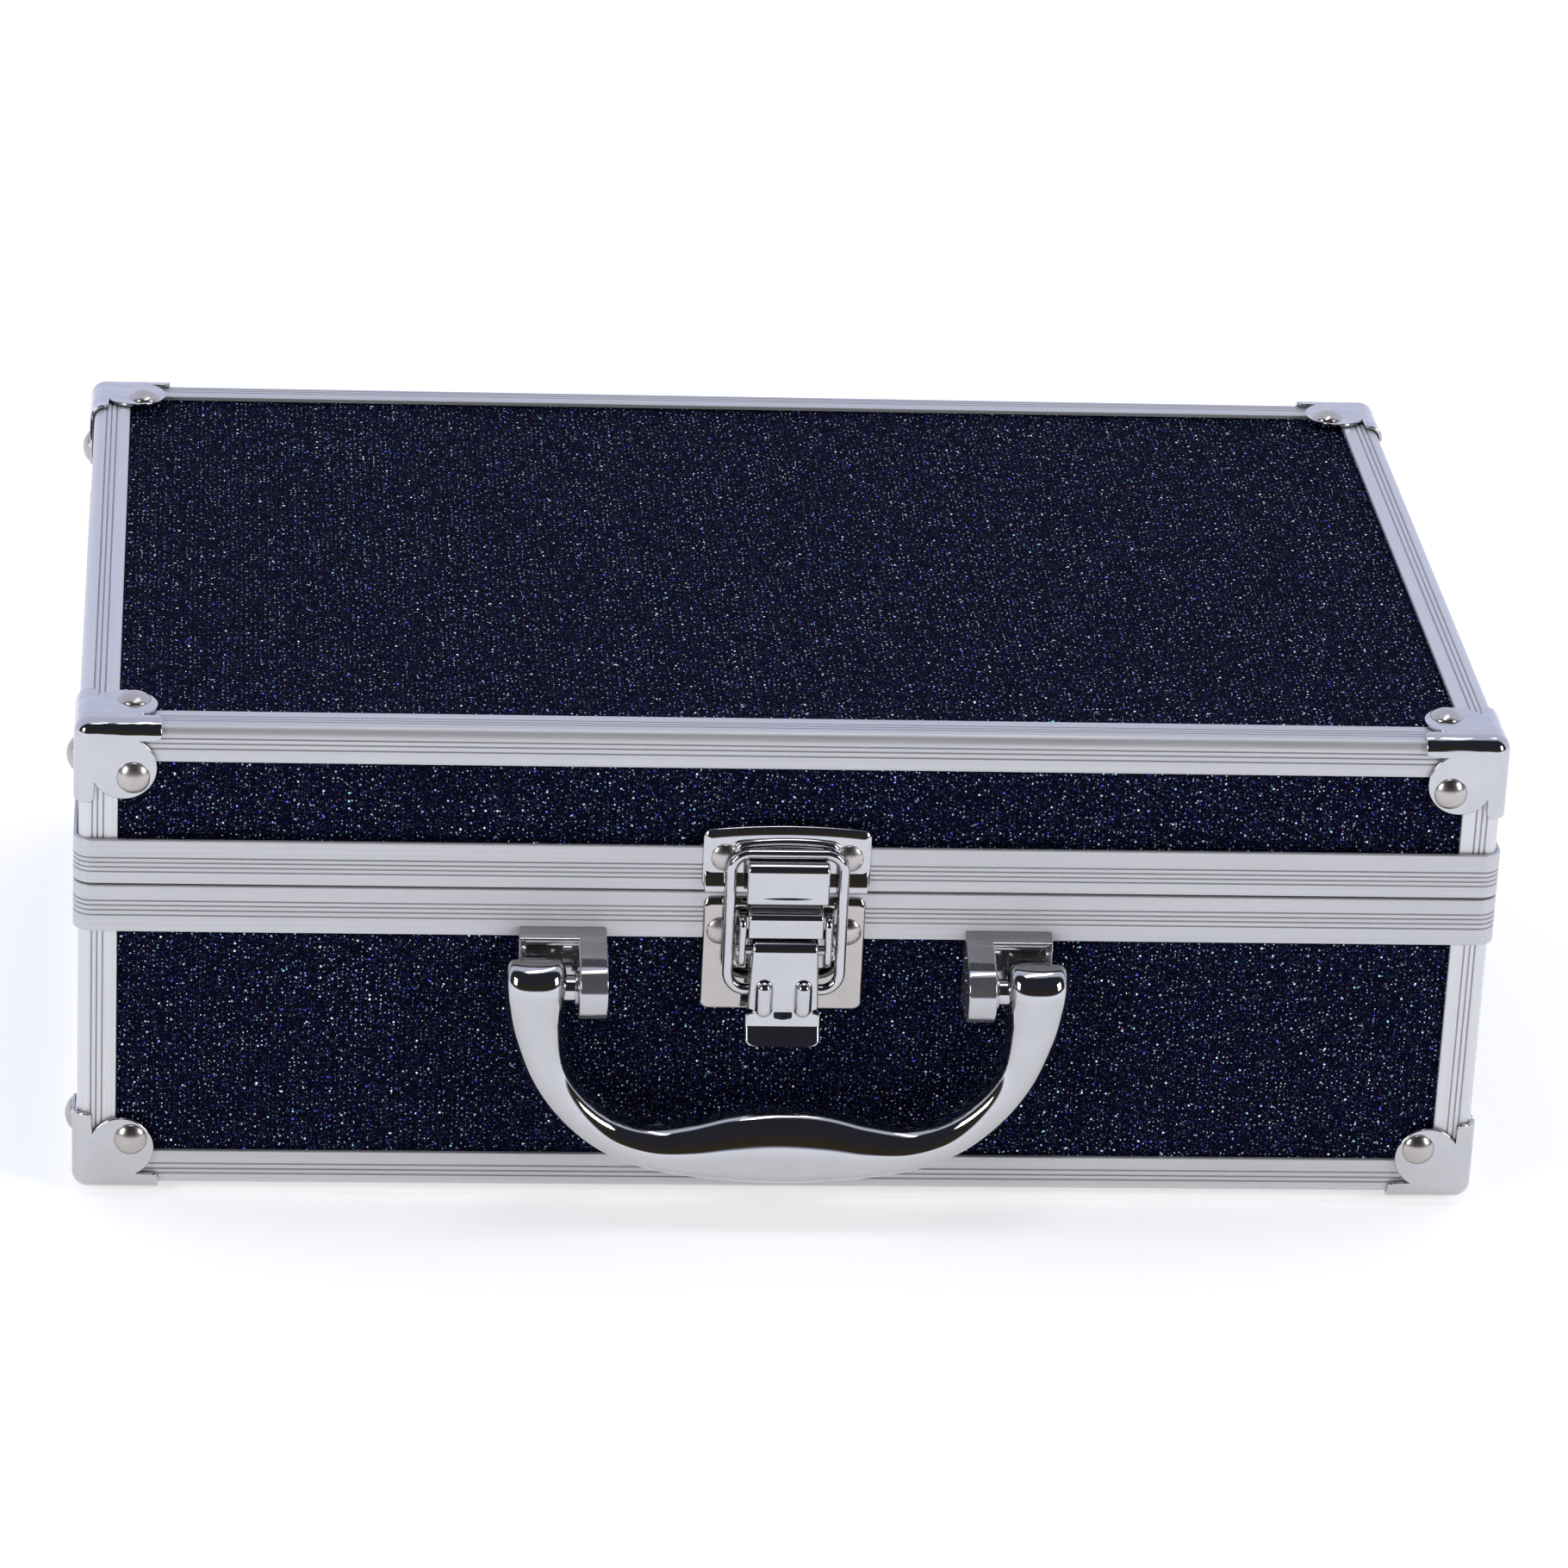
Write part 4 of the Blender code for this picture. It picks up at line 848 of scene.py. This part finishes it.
def make_latch_base():
    """Base plate: rolled top edge, bridge, and the two ears that hold the lever's pin."""
    shape = Shape()
    rolled_plate(shape, LATCH_BASE, 0.0, 1.35, 0.2, 0.9)
    piece("latch_base_sheet", shape, "case_base", WARM, "latch_base_plate")
    top, foot, front = 68.6, 63.4, 7.8 - PLATE_WALL / 2
    path = bent([(PLATE_FRONT - 0.2, top, 0), (front, top, 1.6), (front, foot, 0)], 14)
    shape = strip(Shape(), path, [8.0] * len(path), PLATE_WALL)
    for side in (-1, 1):
        make_ear(shape, side)
    piece("latch_base_bridge", shape, "case_base", CHROME, "latch_base_plate")
    reach = case_box("latch_pivot_pin")[1].x - LATCH_X
    head = [(0.2, -0.35), (0.9, -0.3), (1.35, -0.1), (1.5, 0.15), (1.5, 0.5), (1.05, 0.5)]
    start = (LATCH_X - reach, LEVER_PIVOT.y, LEVER_PIVOT.z)
    pin = Shape().lathe(headed(head, 2 * reach), start, (1, 0, 0), 28)
    piece("latch_pivot_rod", pin, "case_base", NICKEL, "latch_pivot_pin")


def make_ear(shape, side):
    """One ear, folded forwards out of the base plate through a soft bend."""
    low, high, reach, corner, tip = 55.8, 67.8, 7.9, 2.6, 0.75
    inner, outer, fold = 8.3, 9.9, 1.8
    bends = [corner * (1 - math.cos(math.pi / 16 * k)) for k in range(1, 9)]
    rings = []
    for z in [low + rise for rise in bends] + [high - rise for rise in reversed(bends)]:
        gap = min(z - low, high - z, corner)
        front = reach - corner + math.sqrt(corner ** 2 - (corner - gap) ** 2)
        section = arc((outer + fold, PLATE_FRONT + fold), fold, 270, 180, 6)
        section += arc((outer - tip, front - tip), tip, 0, 90, 4)
        section += arc((inner + tip, front - tip), tip, 90, 180, 4)
        section += [(inner, PLATE_FRONT - 0.3), (outer + fold, PLATE_FRONT - 0.3)]
        rings.append([(LATCH_X + side * x, -out, z) for x, out in section])
    shape.skin(rings)


def make_latch_rivets():
    """Four domed nickel rivets that hold the latch plates."""
    for word in ("left", "right"):
        for half, body in (("keeper", "lid"), ("base", "case_base")):
            node = f"latch_{half}_{word}_rivet"
            low, high = case_box(node)
            place = ((low.x + high.x) / 2, -PLATE_FRONT, (low.z + high.z) / 2)
            dome = Shape().lathe(rivet_profile(3.05, 1.2, 0.05), place, (0, -1, 0))
            piece(node + "_head", dome, body, NICKEL, node, sharp=60, flat=False)


def add_rib(shape, x, out):
    """A raised rib with round ends on the lever's front."""
    radius, rise, steps = 2.0, 2.2, 8
    turns = [math.pi / 2 * k / steps for k in range(1, steps)]
    heights = [RIB_LOW + radius * (1 - math.cos(turn)) for turn in turns]
    heights += [RIB_LOW + radius, RIB_HIGH - radius]
    heights += [RIB_HIGH - radius * (1 - math.sin(turn)) for turn in turns]
    rings = []
    for z in heights:
        gap = min(z - RIB_LOW, RIB_HIGH - z, radius)
        swell = math.sqrt(max(1 - ((radius - gap) / radius) ** 2, 0.0))
        rings.append([(x + c * radius * swell, -(out + s * rise * swell), z) for c, s in circle(24)])
    shape.skin(rings)


def lever_half(point, on_front, tip):
    """Half the lever's width at a point of its path, with the notches above the rounded tab."""
    drop = (LEVER_PIVOT.z - point[1]) / (LEVER_PIVOT.z - TAB_LOW - NOTCH_UP)
    half = LEVER_HALF + LEVER_FLARE * min(1.0, max(0.0, drop))
    left = (tip - Vector(point)).length
    if not on_front or left >= NOTCH_UP:
        return half
    if left >= NOTCH_UP - NOTCH_DEPTH:
        return half - NOTCH_DEPTH
    if left >= TAB_CORNER:
        return TAB_HALF
    return TAB_HALF - TAB_CORNER + math.sqrt(max(TAB_CORNER ** 2 - (TAB_CORNER - left) ** 2, 0.0))


def make_lever():
    """Over-centre lever: curled barrel, front sheet with two ribs and a slot of painted shadow, cheeks and
    tab.
    """
    out, z, wall = -LEVER_PIVOT.y, LEVER_PIVOT.z, LEVER_WALL
    middle = LEVER_BARREL - wall / 2
    front, tip = out + middle, Vector((TAB_FRONT - wall / 2, TAB_LOW))
    curl = arc((out, z), middle, 225, 0, 26)
    bends = bent([(front, z, 0), (front + 0.1, LEVER_BEND, 4.0), (front + 0.5, TAB_BEND, 1.2), (*tip, 0)])
    down = []
    for a, b in zip(bends, bends[1:]):
        down += line(a, b, max(1, round((Vector(b) - Vector(a)).length / LEVER_STEP)))
    down.append(bends[-1])
    path = curl + down[1:]
    halves = [lever_half(point, point in down, tip) for point in path]
    shape = strip(Shape(), path, halves, wall)
    face = front + wall / 2
    cheek = rounded([(front, z - 0.6, 0), (out - 1.6, z - 1.6, 0.8), (out - 2.2, BAIL_PIVOT.z - 1.6, 1.0),
                     (out - 0.8, BAIL_PIVOT.z - 3.0, 1.2), (front, LEVER_BEND + 0.9, 0)])
    for side in (-1, 1):
        x = LATCH_X + side * (LEVER_HALF - wall / 2)
        shape.slab(cheek, x - wall / 2 + 0.05, x + wall / 2 - 0.05, across, 0.2)
        add_rib(shape, LATCH_X + side * 4.15, face - 0.15)
    piece("latch_lever_sheet", shape, "latch_lever", CHROME, "latch_lever")
    # The slot is a thin dark plate on the front sheet: painted shadow, not a hole.
    right = [(1.9, SLOT_LOW + 0.4, 0.4), (2.0, SLOT_HIGH, 0.3)]
    corners = [(-x, z, radius) for x, z, radius in reversed(right)] + [(0.0, SLOT_LOW, 2.0)] + right
    outline = rounded([(LATCH_X + x, z, radius) for x, z, radius in corners], 5)
    dark = Shape().slab(outline, face - 0.2, face + 0.3, facing, 0.02)
    piece("latch_lever_slot_shadow", dark, "latch_lever", SHADOW, "latch_lever")


def make_bail():
    """Closed wire loop round the lever's foot and the hook."""
    radius, bend = 1.2, 4.0
    half, middle = (BAIL[1].x - BAIL[0].x) / 2 - radius, (BAIL[1].x + BAIL[0].x) / 2
    origin = Vector((middle, BAIL_PIVOT.y, BAIL_PIVOT.z))
    rise = Vector((0, BAIL_TOP_Y - BAIL_PIVOT.y, BAIL[1].z - radius - BAIL_PIVOT.z))
    height, lean, sideways = rise.length, rise.normalized(), Vector((1, 0, 0))
    normal = sideways.cross(lean)
    rings = []
    for quarter, (sx, sz) in enumerate(((1, 1), (-1, 1), (-1, 0), (1, 0))):
        centre = origin + sideways * sx * (half - bend) + lean * (height - bend if sz else bend)
        for c, s in arc((0, 0), 1, 90 * quarter, 90 * quarter + 90, 12):
            outward = sideways * c + lean * s
            at = centre + outward * bend
            rings.append([at + (outward * u + normal * v) * radius for u, v in circle(24)])
    bail = Shape().skin(rings, closed=True)
    piece("latch_bail_wire", bail, "latch_bail", CHROME, "latch_bail", sharp=40, flat=False)


# --- Handle ---
# Half of the grip's centre line: (x, forward, z, half width, half depth, squareness)
HANDLE_LINE = (
    (53.2, 9.3, 52.5, 6.7, 5.9, 0.76), (53.2, 9.3, 50.5, 6.5, 5.8, 0.76), (52.6, 9.4, 43.5, 5.6, 5.4, 0.78),
    (50.0, 9.5, 33.6, 4.4, 5.2, 0.80), (44.6, 9.6, 25.4, 4.1, 5.2, 0.82), (37.0, 9.7, 19.0, 4.2, 5.3, 0.82),
    (28.0, 9.8, 15.7, 4.8, 5.5, 0.82), (18.5, 9.9, 15.2, 6.3, 5.8, 0.84), (9.0, 9.9, 15.7, 7.9, 6.0, 0.86),
    (0.0, 9.9, 15.9, 8.4, 6.0, 0.86),
)
PIN_RADIUS = 2.9
CREST_TAPER = 0.20      # how much narrower the grip gets towards its inner edge


def smooth_between(knots, steps):
    """Catmull-Rom points through the knots."""
    result = []
    for k in range(len(knots) - 1):
        a, b, c, d = (Vector(knots[max(0, min(len(knots) - 1, k + j))]) for j in (-1, 0, 1, 2))
        for step in range(steps):
            t = step / steps
            result.append(0.5 * (2 * b + (c - a) * t + (2 * a - 5 * b + 4 * c - d) * t * t
                                 + (3 * b - a - 3 * c + d) * t ** 3))
    return result + [Vector(knots[-1])]


def make_handle():
    """Swinging cast grip: square arm ends that flow into a swelling hand grip."""
    line_points = smooth_between(HANDLE_LINE + tuple((-x, *rest) for x, *rest in HANDLE_LINE[-2::-1]), 10)
    last = []
    x, out, base, width, depth, square = HANDLE_LINE[0]
    for k in range(1, 13):
        angle = math.radians(87 * k / 12)
        narrow = 2.3 * (1 - math.cos(angle)) ** 1.4
        rise, thick = depth * math.sin(angle), depth * math.cos(angle)
        last.append(Vector((-x, out, base + rise, width - narrow, thick, square)))
    first = [Vector((-point[0], *point[1:])) for point in reversed(last)]
    spine = [Vector((point[0], 0, point[2])) for point in line_points]
    rings = []
    for k, point in enumerate(first + line_points + last):
        inside = k - len(first)
        if inside < 0:
            run = Vector((0, 0, -1))
        elif inside >= len(line_points):
            run = Vector((0, 0, 1))
        else:
            run = heading(spine, inside)
        sideways = Vector((-run.z, 0, run.x))
        centre = Vector((HANDLE_X + point[0], -point[1], point[2]))
        taper = CREST_TAPER * min(1.0, max(0.0, (50.0 - abs(point[0])) / 14.0))
        ring = []
        for u, v in circle(48):
            u = math.copysign(abs(u) ** point[5], u) * point[3]
            v = math.copysign(abs(v) ** point[5], v) * point[4]
            v *= 1 - taper * max(0.0, -u / point[3])
            ring.append(centre + sideways * u + Vector((0, v, 0)))
        rings.append(ring)
    piece("handle_grip", Shape().skin(rings), "handle", CHROME, "handle", sharp=60)


ROOF_TOP, ROOF_LEAN, ROOF_REACH = 62.4, 19.0, 4.6
LUG_RADIUS = 6.6


def bracket_slabs():
    """The casting's plates: outline, nearest and farthest x from the handle's middle, softness."""
    rim_face, under_rim = RIM_PROUD + GAP, SPLIT - RIM_FOOT - GAP
    out, z = -HANDLE_PIVOT.y, HANDLE_PIVOT.z
    foot, side_foot = 46.2, 47.4
    lip = ROOF_TOP - math.tan(math.radians(ROOF_LEAN)) * (ROOF_REACH - rim_face)
    lug = [(0.6, z - 5.4), (0.6, under_rim), (rim_face, under_rim), (rim_face, ROOF_TOP)]
    lug += arc((out, z + 0.2), LUG_RADIUS, 90 - ROOF_LEAN, -100, 40)
    roof = [(rim_face, ROOF_TOP), (rim_face, under_rim), (ROOF_REACH - 0.6, lip - 1.8)]
    roof += arc((ROOF_REACH - 0.7, lip - 0.7), 0.7, -40, 90 - ROOF_LEAN, 8)
    back = [(0.0, foot), (1.0, foot), (1.0, under_rim), (0.0, under_rim)]
    flange = [(0.4, side_foot), (2.4, side_foot)] + arc((out, z), LUG_RADIUS, 205, 146, 12)
    flange += [(ROOF_REACH, 56.9), (ROOF_REACH, lip - 0.5), (ROOF_REACH - 0.5, lip - 0.1),
               (rim_face, ROOF_TOP - 0.1), (rim_face, under_rim), (0.4, under_rim)]
    return ((lug, 38.0, 44.1, 0.45), (roof, 43.6, 56.6, 0.2), (back, 38.4, 56.6, 0.2),
            (flange, 55.0, 56.6, 0.3))


def make_brackets():
    """Two cast brackets with their pins."""
    y, z = HANDLE_PIVOT.y, HANDLE_PIVOT.z
    for word, _, turn in LEFT_RIGHT:
        def between(a, b, side=-turn):
            return sorted((HANDLE_X + side * a, HANDLE_X + side * b))

        shape = Shape()
        for outline, near, far, soft in bracket_slabs():
            shape.slab(outline, *between(near, far), across, soft)
        low, high = between(44.0, 44.9)
        thick = high - low
        boss = [(2.9, 0.0), (3.6, 0.0), (3.75, 0.2), (3.7, thick - 0.15), (3.4, thick)]
        if word == "left":
            boss = [(radius, thick - along) for radius, along in reversed(boss)]
        shape.lathe([(0.3, boss[0][1])] + boss + [(0.3, boss[-1][1])], (low, y, z), (1, 0, 0))
        node = f"handle_{word}_bracket"
        piece(node + "_casting", shape, "case_base", CAST, node, sharp=45)
        low, high = between(38.6, 48.6)
        end = [(0.3, 0.0), (2.7, 0.0), (PIN_RADIUS, 0.2)]
        pin = Shape().lathe(headed(end, high - low), (low, y, z), (1, 0, 0))
        node = f"handle_{word}_pin"
        piece(node + "_rod", pin, "case_base", CHROME, node)


# --- Foam ---
def make_soft(name, node):
    """Turn a plain CAD solid into softened foam with a torn-cell surface."""
    soft = new_object(name, frame["nodes"][node].data.copy())
    modify(soft, "Round", "BEVEL", width=1.6 * MM, segments=3, limit_method="ANGLE")
    modify(soft, "Remesh", "REMESH", mode="VOXEL", voxel_size=1.5 * MM, use_smooth_shade=True)
    cells = bpy.data.textures.new(name + "_grain", "CLOUDS")
    cells.noise_scale = 2.2 * MM
    modify(soft, "Grain", "DISPLACE", texture=cells, strength=0.5 * MM, mid_level=0.6, texture_coords="LOCAL")
    result = applied(soft)
    bpy.data.objects.remove(soft)
    made = dress(name, result, "case_base", FOAM, node, sharp=80, flat=False)


def make_foam():
    """Floor pad, pocketed tray and egg-crate lid pad."""
    for node, name in (("foam_floor_pad", "floor_pad_foam"), ("foam_tray", "tray_foam")):
        make_soft(name, node)
    low, high = case_box("foam_lid_pad")
    wave, depth, step = 18.0, 4.0, 1.8
    columns, rows = round((high.x - low.x) / step), round((high.y - low.y) / step)
    shape = Shape()
    for j in range(rows + 1):
        for i in range(columns + 1):
            x, y = low.x + (high.x - low.x) * i / columns, low.y + (high.y - low.y) * j / rows
            crest = 1 + math.sin(2 * math.pi * x / wave) * math.sin(2 * math.pi * y / wave)
            shape.points.append(put((x, y, low.z + depth / 2 * crest)))
    row = columns + 1
    for j in range(rows):
        for i in range(columns):
            first = j * row + i
            shape.faces.append((first, first + row, first + row + 1, first + 1))
    edge = list(range(row)) + [j * row + columns for j in range(1, rows + 1)]
    edge += [rows * row + i for i in range(columns - 1, -1, -1)] + [j * row for j in range(rows - 1, 0, -1)]
    top = len(shape.points)
    for k in edge:
        point = shape.points[k].copy()
        point.z = put((0, 0, high.z)).z
        shape.points.append(point)
    for k, start in enumerate(edge):
        after = (k + 1) % len(edge)
        shape.faces.append((start, edge[after], top + after, top + k))
    shape.faces.append(tuple(range(top, top + len(edge))))
    pad = piece("lid_pad_foam", shape, "lid", FOAM, "foam_lid_pad", sharp=80, flat=False)


# --- Stage ---
def make_floor():
    """Pale floor that the case stands on."""
    mesh = bpy.data.meshes.new("floor")
    reach = 8.0
    corners = [(-reach, -reach, 0), (reach, -reach, 0), (reach, reach, 0), (-reach, reach, 0)]
    mesh.from_pydata(corners, [], [(0, 1, 2, 3)])
    mesh.materials.append(floor_material())
    floor = new_object("floor", mesh)


def softbox(name, place, target, size, power, colour):
    """A rectangular studio light aimed at a point."""
    data = bpy.data.lights.new(name, "AREA")
    data.shape, data.size, data.size_y = "RECTANGLE", *size
    data.energy, data.color = power, colour
    light = new_object(name, data)
    light.location = place
    light.rotation_euler = (Vector(target) - Vector(place)).to_track_quat("-Z", "Y").to_euler()


def make_lights():
    """Three softboxes in a bright studio that is dark behind and above the camera."""
    softbox("overhead", (0.13, -0.12, 1.5), (0, 0, 0), (0.80, 0.16), 2.2, (1.0, 0.99, 0.98))
    for name, x, y in (("left", -1.5, -1.3), ("right", 1.6, -1.2)):
        softbox(name, (x, y, 0.9), (0, 0, 0.05), (0.45, 0.9), 12, (0.97, 0.98, 1.0))
    world = bpy.data.worlds.new("studio")
    bpy.context.scene.world = world
    world.use_nodes = True
    tree = world.node_tree
    direction = add(tree, "ShaderNodeTexCoord").outputs["Generated"]
    _, y, z = add(tree, "ShaderNodeSeparateXYZ", {0: direction}).outputs
    behind_camera, above = ranged(tree, y, -0.03, -0.16), ranged(tree, z, -0.02, 0.06)
    below_top = ranged(tree, z, 0.995, 0.965)
    dark = times(tree, behind_camera, times(tree, above, below_top))
    sky = mixed(tree, ranged(tree, z, 0.2, 0.9), (0.86, 0.91, 1.18), (0.74, 0.77, 0.95))
    gloom = mixed(tree, ranged(tree, z, 0.15, 0.6), (0.046, 0.037, 0.022), (0.030, 0.030, 0.042))
    seen = add(tree, "ShaderNodeLightPath").outputs["Is Camera Ray"]
    shown = mixed(tree, seen, mixed(tree, dark, sky, gloom), (1.0, 1.0, 1.0))
    feed(tree, tree.nodes["Background"], {"Color": shown, "Strength": 1.0})


def make_camera():
    """Long lens, a little to the left of the case and looking down on it."""
    place, target, roll = put((-125.7, -1333.7, 687.9)), put((6.5, 100.0, 51.1)), math.radians(2.84)
    data = bpy.data.cameras.new("camera")
    data.lens, data.sensor_width = 160.3, 36.0
    data.clip_start, data.clip_end = 0.05, 50.0
    camera = new_object("camera", data)
    camera.location = place
    camera.rotation_mode = "QUATERNION"
    aim = (target - place).to_track_quat("-Z", "Y")
    camera.rotation_quaternion = aim @ Matrix.Rotation(roll, 3, "Z").to_quaternion()
    bpy.context.scene.camera = camera


make_camera()
finish_panels()
make_rails()
make_rims()
make_caps()
make_hinges()
make_keeper()
make_latch_base()
make_latch_rivets()
make_lever()
make_bail()
make_handle()
make_brackets()
make_foam()
make_floor()
make_lights()
bpy.context.scene.view_settings.view_transform = "Standard"
